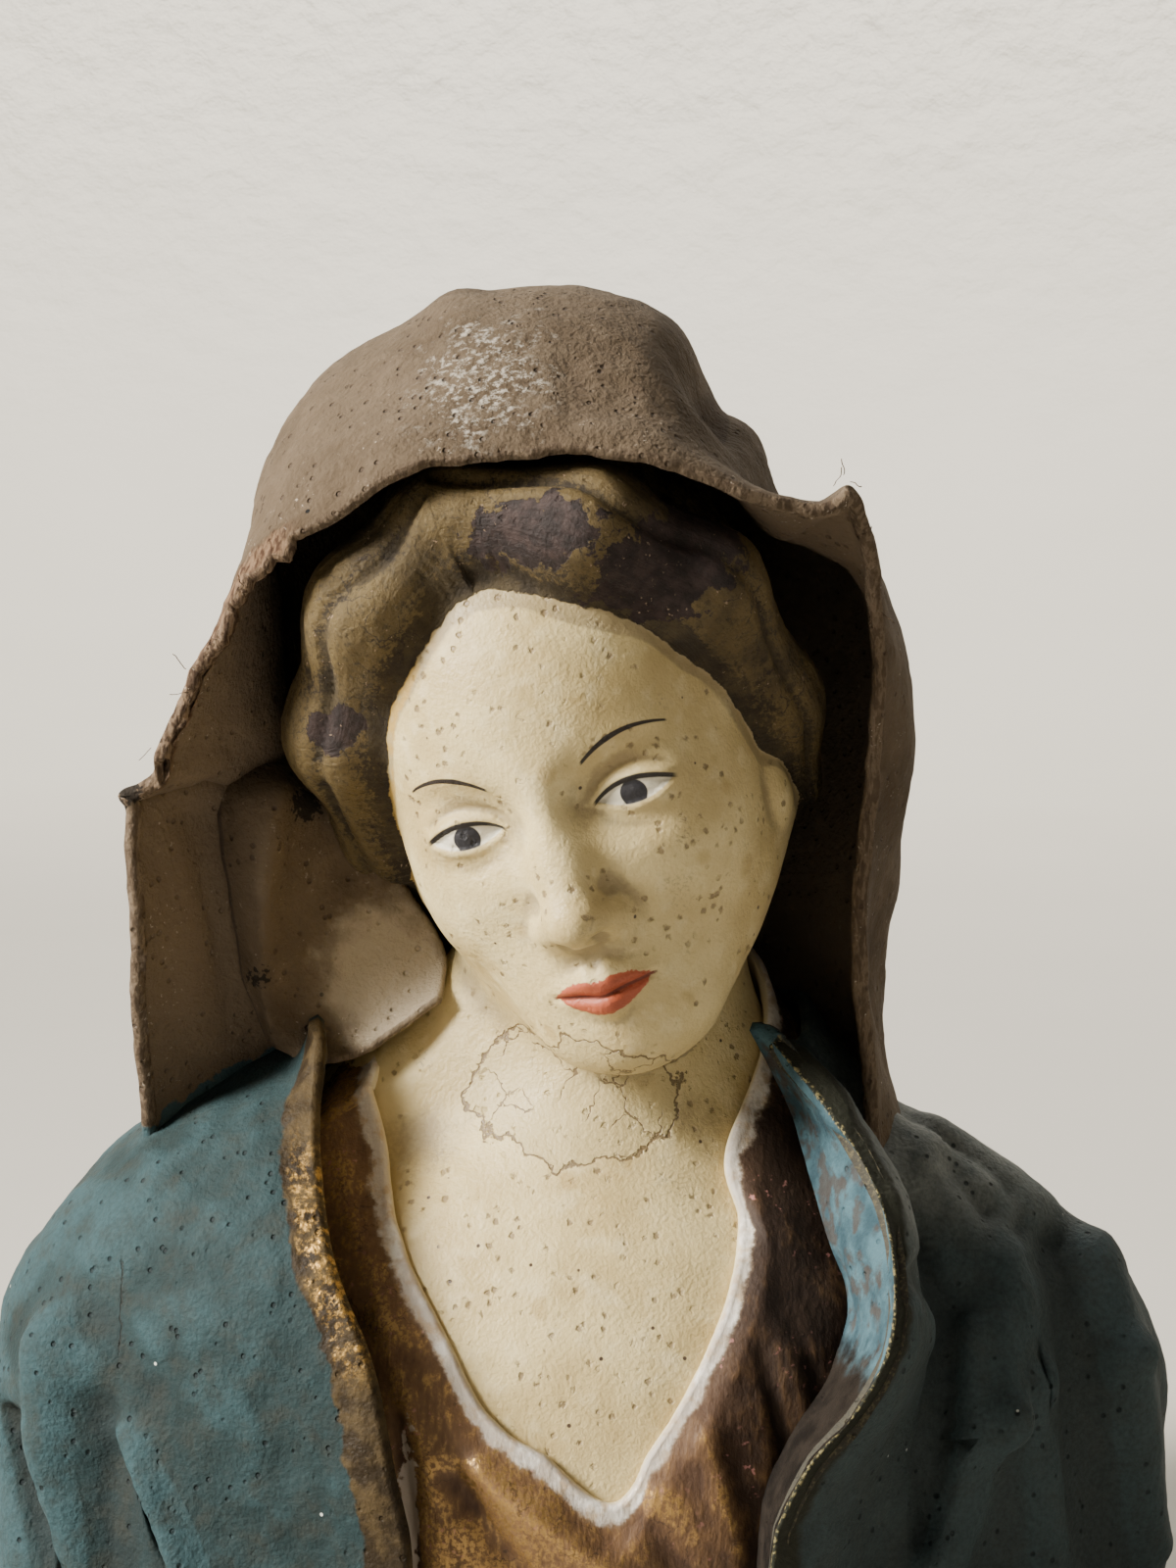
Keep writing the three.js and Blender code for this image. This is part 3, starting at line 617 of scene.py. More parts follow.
def robe_sheet(rows, columns):
    neckline = curve_through(neckline_points(), np.arange(columns) / columns)
    v = (np.arange(rows) / (rows - 1)) ** 0.9
    turn = np.broadcast_to(neckline[:, 0], (rows, columns))
    lift = lerp(neckline[:, 1][None], -SHOULDER_CENTRE[2], v[:, None])
    start, direction = ray_at(SHOULDER_CENTRE, turn, lift)
    points = start + direction * reach(robed, start, direction)[..., None]
    neck = smoothstep(np.arange(rows) / rows, 0, 0.02)[:, None]
    height = fold_height(points, ROBE_FOLDS) * neck + 0.22 * rough(points, 5, 31) - 0.15
    below_edge = travelled(points.reshape(-1, 3), (rows, columns), 0).reshape(rows, columns)
    height -= NECK_DRAWN_IN["by"] * smoothstep(-below_edge, -NECK_DRAWN_IN["over"], 0)
    points = (points + direction * height[..., None]).reshape(-1, 3)
    faces = grid_faces(rows, columns, True)
    return points, faces, {
        "from_neck": travelled(points, (rows, columns), 0),
        "hollow": hollowness(points, faces, (rows, columns), True, 4),
    }


# The mantle: a cape round the shoulders, open in front
MANTLE_FLARE = 0.1
MANTLE_CROWDING = 0.07  # how far its columns draw together in front
MANTLE_LIFT = 60  # of its collar behind the neck
MANTLE_LEVEL = 0.7  # how far down its back is level with the centre of the shoulders
MANTLE_LEFT = [(-26, -3, 56), (-26, -8, 51), (-25.6, -12, 46.3), (-23.7, -19, 37.8), (-20.1, -23, 29.3),
               (-17.9, -25, 19.1), (-16.6, -25, 12.2), (-16.3, -25, 0)]
# On the right its edge is a lapel: a ridge that stands out, and the foot of the lining behind it
MANTLE_RIDGE = [(17.5, -8, 56.2), (22.7, -14, 50.4), (26.3, -20, 44.3), (27.4, -25, 38.3), (26.6, -28, 31.9),
                (23.3, -30, 26.5), (19.7, -31, 22.7), (17.1, -31, 17.7), (16.3, -31, 14.2), (15.5, -30, 0)]
LAPEL_FOOT = [(15.5, 57), (19, 50.4), (20.5, 45.4), (22.2, 39.6), (24.4, 33), (22.2, 27), (18.8, 22.7),
              (16.3, 17.7), (15.6, 14.2), (14.8, 0)]
# Folds: from, to, half-width and height, which is negative for a groove
MANTLE_FOLDS = [
    ((29, -9, 41), (33.5, -12.5, 31), 2.5, -2.5),
    ((33.5, -12.5, 31), (31.5, -15.5, 14), 2.5, -3.5),
    ((37, -13, 30), (36, -14.5, 21), 3, 2),
    ((36, -14.5, 21), (30.5, -17, 5), 3, 2.5),
    ((29, 3, 50), (41, 1, 40), 2.5, -1.5),
    ((44.5, -3, 36), (46.5, -8, 25), 4, -3.5),
    ((46.5, -8, 25), (50, -8, 4), 4, -4.5),
    ((-50.5, -9, 28), (-49.5, -12, 4), 3, 2.5),
    ((-46, -12, 21), (-44, -14, 0), 3, -3.5),
    ((-45, -12, 20), (-34, -18.5, 2), 3, 2),
    ((-56, -5, 18), (-51, -10, 0), 2.5, -3),
]
BACK_FOLDS = {"count": 9, "height": 1.6}
# Sharper folds of its front, seen from there: from and to as x and z, half-width and height
MANTLE_CREASES = [
    ((49.5, 34), (51.5, 25), 2.2, 2.0),
    ((51.5, 25), (54.5, 5), 2.2, 2.2),
    ((44.6, 35), (45.6, 25), 1.1, -2.0),
    ((45.6, 25), (48.6, 5), 1.3, -2.2),
    ((40.5, 35), (42, 24), 2.4, 1.6),
    ((42, 24), (44, 4), 2.4, 1.8),
    ((30.3, 38), (33.6, 31), 0.9, -1.2),
    ((33.6, 31), (33.2, 20), 0.9, -1.8),
    ((33.2, 20), (30.8, 11), 0.9, -1.4),
    ((35.6, 30), (35.2, 20), 1.2, 1.2),
    ((35.2, 20), (29.5, 3), 1.3, 1.5),
    ((21, 54.5), (33.5, 46), 2.2, 1.3),
    ((33.5, 46), (42.5, 39), 2.4, 1.4),
    ((28.5, 50), (38.5, 39.5), 1.1, -1.3),
    ((24, 48), (29, 37), 1.3, -1.0),
    ((-56, 19), (-50, 5), 1.1, -1.8),
    ((-46, 31), (-41, 25), 2.4, -0.8),
    ((-34, 30), (-30, 12), 4, 0.6),
]
# The fold low on the left, a hollow that widens downwards from its apex, where one plane lies over the next
OVERLAP = {"apex": (-45, 23), "left": -47.5, "right": -36.5, "foot": 3, "depth": 3.2, "lip": 1.1}


def overlapped(points):
    x, z = points[:, 0], points[:, 2]
    apex, top = OVERLAP["apex"]
    down = np.clip((top - z) / (top - OVERLAP["foot"]), 0, 1.3)
    left, right = (lerp(apex, OVERLAP[side], down) for side in ("left", "right"))
    under = np.clip((x - left) / np.maximum(right - left, 0.1), 0, 1) * smoothstep(right - x, -0.7, 1.3)
    over = smoothstep(x - right, -1.3, 0.7) * np.exp(-np.maximum(x - right, 0) / 5)
    return smoothstep(down, 0, 0.45) * (OVERLAP["lip"] * over - OVERLAP["depth"] * under)


def seen_folds(points, folds):
    """Height of folds that are given as x and z, whatever their depth."""
    deep = [((a, 0, b), (c, 0, d), width, height) for (a, b), (c, d), width, height in folds]
    return fold_height(points * [1, 0, 1], deep)


def mantle_reach(turn, lift):
    """How far the mantle is from the centre of the shoulders."""
    start, direction = ray_at(SHOULDER_CENTRE, turn, lift)
    power = lerp(2.2, 1.75, smoothstep(direction[..., 0], -0.3, 0.3))
    oval = oval_reach(direction, MANTLE_OVAL, power)
    low = 1 - np.clip(lift / 70, 0, 1)
    behind = smoothstep(direction[..., 1], -0.1, 0.4)
    folds = BACK_FOLDS["height"] * behind * low * np.sin(BACK_FOLDS["count"] * np.radians(turn))
    out = oval + folds + fold_height(start + direction * oval[..., None], MANTLE_FOLDS)
    under = reach(robed, start, direction) + CLEARANCE
    return -join(-out, -under, 2)


def mantle_points(u, v):
    """Points of the mantle: round from the left edge to the right one, and down from its collar."""
    left = place_of(SHOULDER_CENTRE, curve_through(MANTLE_LEFT, v))
    right = place_of(SHOULDER_CENTRE, curve_through(MANTLE_RIDGE, v))
    level = MANTLE_LEVEL
    above, below = MANTLE_LIFT * (1 - v / level), -SHOULDER_CENTRE[2] * (v - level) / (1 - level)
    back_lift = np.where(v < level, above, below)
    near = np.minimum(u, 1 - u)
    lift = lerp(lerp(left[1], right[1], u), back_lift, smoothstep(near, 0, 0.22))
    turn = lerp(left[0], right[0] - 360, u)
    edge = [np.where(u < 0.5, left[k], right[k]) for k in range(3)]
    flare = (edge[2] - mantle_reach(edge[0], edge[1])) * (1 - smoothstep(near, 0, MANTLE_FLARE))
    start, direction = ray_at(SHOULDER_CENTRE, turn, lift)
    return start + direction * (mantle_reach(turn, lift) + flare)[..., None]


def mantle_sheet(rows, columns, lapel):
    t = np.arange(columns) / (columns - 1)
    u = t - MANTLE_CROWDING * np.sin(2 * np.pi * t)
    v = np.arange(rows) / (rows - 1)
    points = mantle_points(*np.broadcast_arrays(u[None], v[:, None]))
    foot = curve_through([(x, 0, z) for x, z in LAPEL_FOOT], v)
    behind = front_of(robed, foot[:, 0], foot[:, 2]) - [0, CLEARANCE, 0]
    f = (np.arange(lapel) + 1) / lapel
    strip = lerp(points[:, -1:, :], behind[:, None, :], f[None, :, None])
    points = np.concatenate([points, strip], 1)
    wide = columns + lapel
    faces = grid_faces(rows, wide)[:, ::-1]
    points = points.reshape(-1, 3)
    marks = {
        "from_left": travelled(points, (rows, wide), 1),
        "from_ridge": -travelled(points, (rows, wide), 1, columns - 1),
        "fold": fold_height(points, MANTLE_FOLDS),
    }
    free = smoothstep(marks["from_left"], 0, 2) * smoothstep(np.abs(marks["from_ridge"]), 0, 2)
    front = smoothstep(-points[:, 1], -8, -2)
    creases = (seen_folds(points, MANTLE_CREASES) + overlapped(points)) * front * free
    marks["fold"] = marks["fold"] * 0.5 + creases
    height = creases + 0.35 * free * rough(points, 7, 41) + 0.12 * rough(points, 2.2, 45, 2)
    room = np.maximum(robed(points) - CLOTH - 2 * GAP, 0)
    height = -join(-height, room, 0.8)
    normals = vertex_normals(points, faces)
    points = raised(points, normals, height)
    marks["hollow"] = hollowness(points, faces, (rows, wide), False, 5)
    return points, faces, marks, normals


# The veil: a hood whose front edge goes down on both sides from the top, with a line down the back
VEIL_FLARE = {"left": 0.3, "right": 0.2}
VEIL_BACK = {"top": 35, "bottom": -44}
HEM_RISE = {"u": 0.45, "width": 0.2, "left": 0, "right": 10, "back": 3}  # where it crosses the shoulders
VEIL_LEFT = [(-2, -21, 112.1), (-14.9, -20, 110.8), (-23.8, -18, 105.5), (-29.7, -16, 101.5),
             (-33.2, -14, 96.7), (-37.7, -12, 88.9), (-41.4, -10, 82), (-43.2, -9, 78.2), (-43.3, -7, 64),
             (-43.3, -3, 54), (-43.2, 2, 43)]
VEIL_RIGHT = [(-2, -21, 112.1), (5, -21, 111.3), (13.1, -20, 108.5), (20.6, -18, 106.9), (23.6, -17, 108.6),
              (26.2, -13, 104.3), (27.2, -10, 97.6), (27.8, -8, 89.2), (27.2, -7, 79.6), (26.3, -7, 65.9),
              (27.2, -6, 54), (28, -5, 42)]
# Below this height it comes to lie on the mantle, from free to laid at these shares of the way to the back
VEIL_REST = {"z": 70, "free": {"left": 0.14, "right": 0.3}, "laid": {"left": 0.3, "right": 0.55}}
PILLAR = 30  # millimetres below the centre that count as much as one radius, where places are mixed
# Folds and dents: from, to, half-width and height
VEIL_FOLDS = [
    ((22, -14, 112), (21, 14, 112), 8, -6),
    ((13.3, -8, 119.5), (12.8, 12, 119.5), 4.5, -5),
    ((-29, -10, 107), (-22, 14, 115), 10, 4.5),
    ((-32, -8, 104), (-31, 8, 105), 5, 1.8),
    ((-13.5, -12, 126), (-13, 12, 127), 3, 1.5),
]
NAPE_WAIST = {"z": 62, "width": 14, "depth": 0.16}
# Pleats of its hanging sides, the same way: on the left, behind the front panel, a crease and then the cloth
# drawn in to the neck, and on the right a fuller side
VEIL_PLEATS = [
    ((-36, -2, 77), (-31.5, 4, 50), 3, 2.5),
    ((-25, 7, 67), (-22, 9, 50), 6.5, -8),
    ((28, 7, 68), (28, 7, 61), 6, 2.3),
]


def on_dome(turn, lift):
    """A place as a point on a unit dome over a unit pillar, which can be mixed with another."""
    _, direction = ray_at((0, 0, 0), turn, lift)
    below = np.stack([direction[..., 0], direction[..., 1], lift / PILLAR], -1)
    return np.where((lift > 0)[..., None], direction, below)


def place_on_dome(m):
    flat = np.hypot(m[..., 0], m[..., 1])
    lift = np.where(m[..., 2] > 0, np.degrees(np.arctan2(m[..., 2], flat)), m[..., 2] * PILLAR)
    return np.degrees(np.arctan2(m[..., 0], -m[..., 1])), lift


def veil_reach(turn, lift):
    start, direction = ray_at(VEIL_CENTRE, turn, lift)
    c, s = math.cos(math.radians(VEIL_LEAN)), math.sin(math.radians(VEIL_LEAN))
    x, y, z = direction[..., 0], direction[..., 1], direction[..., 2]
    oval = oval_reach(np.stack([x * c - z * s, y, x * s + z * c], -1), VEIL_OVAL)
    p = start + direction * oval[..., None]
    waist = 1 - NAPE_WAIST["depth"] * bump(p[..., 2] - NAPE_WAIST["z"], NAPE_WAIST["width"])
    return (oval + fold_height(p, VEIL_FOLDS)) * waist


def laid_on_mantle(p):
    """The veil's points, pushed out of the space that the mantle fills."""
    turn, lift, far = place_of(SHOULDER_CENTRE, p)
    start, direction = ray_at(SHOULDER_CENTRE, turn, lift)
    surface = mantle_reach(turn, lift) + CLEARANCE
    return start + direction * np.maximum(far, surface)[..., None]


def on_side(side, pair):
    """A pair's left value on the left and its right one on the right."""
    return np.where(side < 0, pair["left"], pair["right"])


def veil_points(side, s, u):
    """Points of the veil: on a side, down its edge from 0 to 1, and from there to the line down the back."""
    left, right = curve_through(VEIL_LEFT, s), curve_through(VEIL_RIGHT, s)
    edge = place_of(VEIL_CENTRE, np.where((side < 0)[..., None], left, right))
    back = on_dome(np.full_like(s, 180.0), lerp(VEIL_BACK["top"], VEIL_BACK["bottom"], s))
    turn, lift = place_on_dome(lerp(on_dome(edge[0], edge[1]), back, u[..., None]))
    rise = lerp(on_side(side, HEM_RISE), HEM_RISE["back"], u)
    lift = lift + rise * bump(u - HEM_RISE["u"], HEM_RISE["width"]) * smoothstep(s, 0.7, 1)
    flare = edge[2] - veil_reach(edge[0], edge[1])
    fading = 1 - smoothstep(u / on_side(side, VEIL_FLARE), 0, 1)
    start, direction = ray_at(VEIL_CENTRE, turn, lift)
    p = start + direction * (veil_reach(turn, lift) + flare * fading)[..., None]
    p += direction * fold_height(p, VEIL_PLEATS)[..., None]
    low = p[..., 2] < VEIL_REST["z"]
    free, laid = on_side(side, VEIL_REST["free"])[low], on_side(side, VEIL_REST["laid"])[low]
    p[low] = lerp(p[low], laid_on_mantle(p[low]), smoothstep((u[low] - free) / (laid - free), 0, 1)[:, None])
    return p


# Creases of the left side, seen from the front: from and to as x and z, half-width and height
VEIL_CREASES = [
    ((-43, 79.6), (-36.5, 81), 0.7, 1.0),
    ((-36.5, 81), (-29.5, 78.5), 0.7, 0.8),
    ((-41.5, 82.5), (-36, 83), 0.9, -0.7),
    ((-31.5, 79), (-28, 74), 0.8, -0.6),
]
# The torn stretch of its left edge, as shares of the way down, and how far it goes in and out
FRAY = {"from": 0.27, "to": 0.7, "height": 1.6}


def frayed(points, shape, s, side, from_edge):
    """Shifts the front edge in and out, most where it's torn."""
    grid = points.reshape(*shape, 3)
    outward = unit(grid[:, :1] - grid[:, 4:5])
    torn = smoothstep(s, FRAY["from"] - 0.06, FRAY["from"]) * smoothstep(-s, -FRAY["to"], -0.5)
    torn = np.where(side < 0, torn, 0)
    wave = rough(grid[:, 0], 2.2, 51, 5)[:, None]
    shift = lerp(0.25, FRAY["height"], torn) * wave * bump(from_edge.reshape(shape), 1.6)
    return (grid + outward * shift[..., None]).reshape(-1, 3), torn


# The cloth drawn in to the neck on the left: rows from the top down, each from the crease over the ridge
# beside it and through a hollow to the neck
INNER_FOLD = [
    [(-35.6, 2, 81.5), (-32.8, 1, 82), (-29.6, 1, 82),
     (-28, 2.5, 81.5), (-25, 4.5, 81), (-21, 5, 80.5)],
    [(-35.4, -0.5, 78.5), (-32.6, -3, 78.5), (-29.4, -3.6, 78.5),
     (-28, -0.6, 78), (-25, 1.6, 77.5), (-21, 2.6, 77.5)],
    [(-34.9, -0.5, 71), (-32.8, -2.6, 71), (-30.3, -3.4, 71),
     (-28.4, 0, 70.5), (-23.8, 2.4, 70), (-18, 3, 70)],
    [(-33.7, 0.8, 63), (-32.4, -0.8, 63), (-31, -1.4, 63),
     (-28.4, 0.8, 62.5), (-23, 2.4, 62.5), (-14.4, 4, 64)],
    [(-32.2, 2.4, 57), (-31.5, 1.2, 57), (-30.6, 0.2, 56.8),
     (-27.5, 1, 56.3), (-22, 1.4, 57), (-14.4, 1.8, 61)],
    [(-31.5, 3.4, 54.5), (-31, 2.6, 54.5), (-30.2, 1.4, 54),
     (-27, -0.2, 53.4), (-21.6, -1, 54.6), (-14.6, -0.4, 59.6)],
]


def inner_fold(rows, columns):
    lines = np.stack([curve_through(row, np.linspace(0, 1, columns)) for row in INNER_FOLD])
    points = np.stack([curve_through(lines[:, j], np.linspace(0, 1, rows)) for j in range(columns)], 1)
    points = points.reshape(-1, 3)
    faces = grid_faces(rows, columns)
    height = 0.25 * rough(points, 7, 71) + 0.08 * rough(points, 2, 75, 2)
    marks = {
        "torn": np.zeros(len(points)),
        "from_edge": np.repeat(np.linspace(25, 0, rows), columns),
        "left": np.ones(len(points)),
        "crease": np.tile(bump(np.linspace(0, 30, columns), 1.3), rows),
        "hollow": hollowness(points, faces, (rows, columns), False, 3),
        "above_mantle": np.full(len(points), 5.0),
    }
    return raised(points, vertex_normals(points, faces), height), faces, marks


FIBRES = {"seed": 5, "count": 16, "radius": 0.06, "step": 0.24, "points": 9}


def fibres():
    """Loose threads along the torn edge and, fewer, along the edge on the right."""
    random = np.random.default_rng(FIBRES["seed"])
    paths = []
    for k in range(FIBRES["count"]):
        line, low, high = (VEIL_LEFT, 0.26, 0.64) if k % 3 else (VEIL_RIGHT, 0.3, 0.62)
        start = curve_through(line, np.array([random.uniform(low, high)]))[0] + random.normal(0, 0.4, 3)
        heading = unit(random.normal(0, 1, 3) - [0, 0.4, 0])
        turns = np.cumsum(random.normal(0, 0.35, (FIBRES["points"], 3)), axis=0)
        paths.append(start + np.cumsum(unit(heading + turns), axis=0) * FIBRES["step"])
    ring = np.array([[1, 0, 0], [-0.5, 0.87, 0], [-0.5, -0.87, 0]]) * FIBRES["radius"]
    ring = ring @ turned(0, 35) @ turned(1, 25)
    thread = grid_faces(FIBRES["points"], 3, True)
    plain = {"torn": 1, "from_edge": 0, "left": 1, "crease": 0, "hollow": 0, "above_mantle": 5, "side": 0}
    marks = {key: np.full(FIBRES["points"] * 3, float(value)) for key, value in plain.items()}
    return merged(*[((path[:, None] + ring).reshape(-1, 3), thread, marks) for path in paths])


def veil_sheet(rows, columns):
    i = np.arange(-rows, rows + 1)
    u = (np.arange(columns) / (columns - 1)) ** 1.3
    side, s, u = np.broadcast_arrays(np.sign(i)[:, None] * 1.0, np.abs(i)[:, None] / rows, u[None])
    points = veil_points(side, s, u).reshape(-1, 3)
    shape = (len(i), columns)
    faces = grid_faces(*shape)
    from_edge = travelled(points, shape, 1)
    points, torn = frayed(points, shape, s, side, from_edge)
    seen = ((side < 0) & (u < 0.5)).ravel()
    crease = seen_folds(points, VEIL_CREASES) * seen
    height = crease + 0.3 * rough(points, 9, 61) + 0.12 * rough(points, 2, 65, 2)
    marks = {
        "torn": torn.ravel(),
        "from_edge": from_edge,
        "left": (side < 0).ravel() * 1.0,
        "crease": crease,
        "hollow": hollowness(points, faces, shape, False, 4),
    }
    points = raised(points, vertex_normals(points, faces), height)
    # The two halves meet in one line down the back
    line = np.arange(1, rows + 1)
    index = np.arange(len(points))
    index[(rows - line) * columns + columns - 1] = (rows + line) * columns + columns - 1
    return points, index[faces], marks


# Materials

class Output:
    """An output of a node. Sums with it are worked out by further nodes of its material."""

    def __init__(self, paint, socket):
        self.paint = paint
        self.socket = socket

    def __add__(self, other):
        return self.paint.math("ADD", self, other)

    def __sub__(self, other):
        return self.paint.math("SUBTRACT", self, other)

    def __rsub__(self, other):
        return self.paint.math("SUBTRACT", other, self)

    def __mul__(self, other):
        return self.paint.math("MULTIPLY", self, other)

    def __or__(self, other):
        return self.paint.math("MAXIMUM", self, other)

    def __abs__(self):
        return self.paint.math("ABSOLUTE", self)

    def step(self, low, high):
        """0 below low and 1 above high, or the reverse where low is the higher."""
        inputs = dict(enumerate((self, low, high, 0, 1)))
        return self.paint.node("MapRange", inputs, interpolation_type="SMOOTHSTEP")

    def mix(self, a, b):
        """a where this is 0 and b where it is 1."""
        return (1 - self) * a + self * b


class Paint:
    """The nodes of one material, worked out in millimetres of the part's frame."""

    def __init__(self, name, roughness, sheen=0.5):
        self.material = bpy.data.materials.new(name)
        self.material.use_nodes = True
        self.tree = self.material.node_tree
        self.shader = self.tree.nodes["Principled BSDF"]
        self.shader.inputs["Roughness"].default_value = roughness
        self.shader.inputs["Specular IOR Level"].default_value = sheen
        metres = self.node("TexCoord", {}, "Object")
        self.place = self.node("VectorMath", {0: metres, "Scale": 1000}, operation="SCALE")

    def put(self, socket, value):
        if isinstance(value, Output):
            self.tree.links.new(value.socket, socket)
        elif socket.type == "RGBA":
            socket.default_value = (*value, 1)
        else:
            socket.default_value = value

    def node(self, kind, inputs, output=0, **settings):
        node = self.tree.nodes.new("ShaderNode" + kind)
        for key, value in settings.items():
            setattr(node, key, value)
        for key, value in inputs.items():
            self.put(node.inputs[key], value)
        return Output(self, node.outputs[output])

    def math(self, operation, a, b=0):
        return self.node("Math", {0: a, 1: b}, operation=operation)

    def attribute(self, name, output="Fac"):
        return self.node("Attribute", {}, output, attribute_name=name)

    def parts(self, vector):
        return [self.node("SeparateXYZ", {0: vector}, k) for k in range(3)]

    def near(self, place, centre, radii):
        """0 at the centre of an oval region and 1 on its outline."""
        shares = [(value - middle) * (1 / radius) for value, middle, radius in zip(place, centre, radii)]
        x, y, z = (share * share for share in shares)
        return self.math("SQRT", x + y + z)

    def mapped(self, place, seed, scale=(1, 1, 1)):
        moved = [seed * k for k in (7.1, 3.7, 5.3)]
        return self.node("Mapping", {0: place, "Location": moved, "Scale": scale})

    def noise(self, width, detail=3, seed=0, rough=0.55, stretch=(1, 1, 1), at=None):
        """Noise from 0 to 1 with lumps of about this width, stretched that many times along each axis."""
        place = self.mapped(at or self.place, seed, [1 / (width * k) for k in stretch])
        inputs = {"Vector": place, "Scale": 1, "Detail": detail, "Roughness": rough}
        return self.node("TexNoise", inputs, "Fac")

    def wander(self, width, detail, seed):
        """The same from -0.5 to 0.5, to make an outline ragged."""
        return self.noise(width, detail, seed) - 0.5

    def cells(self, width, seed=0, feature="F1", place=None):
        """Distance from the middle or the edge of cells of about this width."""
        inputs = {"Vector": self.mapped(place or self.place, seed), "Scale": 1 / width}
        return self.node("TexVoronoi", inputs, "Distance", feature=feature)

    def cracks(self, width, seed, thickness):
        """Cracks along the bent edges of cells, fading out between two shares of the cells' width."""
        shift = {k: self.noise(width * 0.4, 3, 20 + k) * (width * 0.6) for k in range(3)}
        bent = self.node("VectorMath", {0: self.place, 1: self.node("CombineXYZ", shift)}, operation="ADD")
        return self.cells(width, seed, "DISTANCE_TO_EDGE", bent).step(*thickness)

    def blend(self, factor, a, b):
        return self.node("Mix", {0: factor, 6: a, 7: b}, 2, data_type="RGBA", clamp_factor=True)

    def layers(self, colour, *coats):
        """A colour with coats of paint over it, each a mask and its own colour."""
        for mask, coat in coats:
            colour = self.blend(mask, colour, coat)
        return colour

    def finish(self, colour, height, strength, distance, roughness=None, metallic=None):
        """Leads the colour and the rest into the shader. The height's distance is in millimetres."""
        bumped = self.node("Bump", {"Height": height, "Strength": strength, "Distance": distance * 0.001})
        ends = {"Base Color": colour, "Normal": bumped, "Roughness": roughness, "Metallic": metallic}
        for name, value in ends.items():
            if value is not None:
                self.put(self.shader.inputs[name], value)
        return self.material


# Where the hair's top coat has gone: centres and radii in the head's frame
BARE_SPOTS = [
    ((12, -33, 46), (12, 20, 6)),
    ((31, -22, 33), (13, 20, 9)),
    ((-33, -24, 22), (5, 20, 4)),
    ((-22, 20, 48), (12, 16, 9)),
]


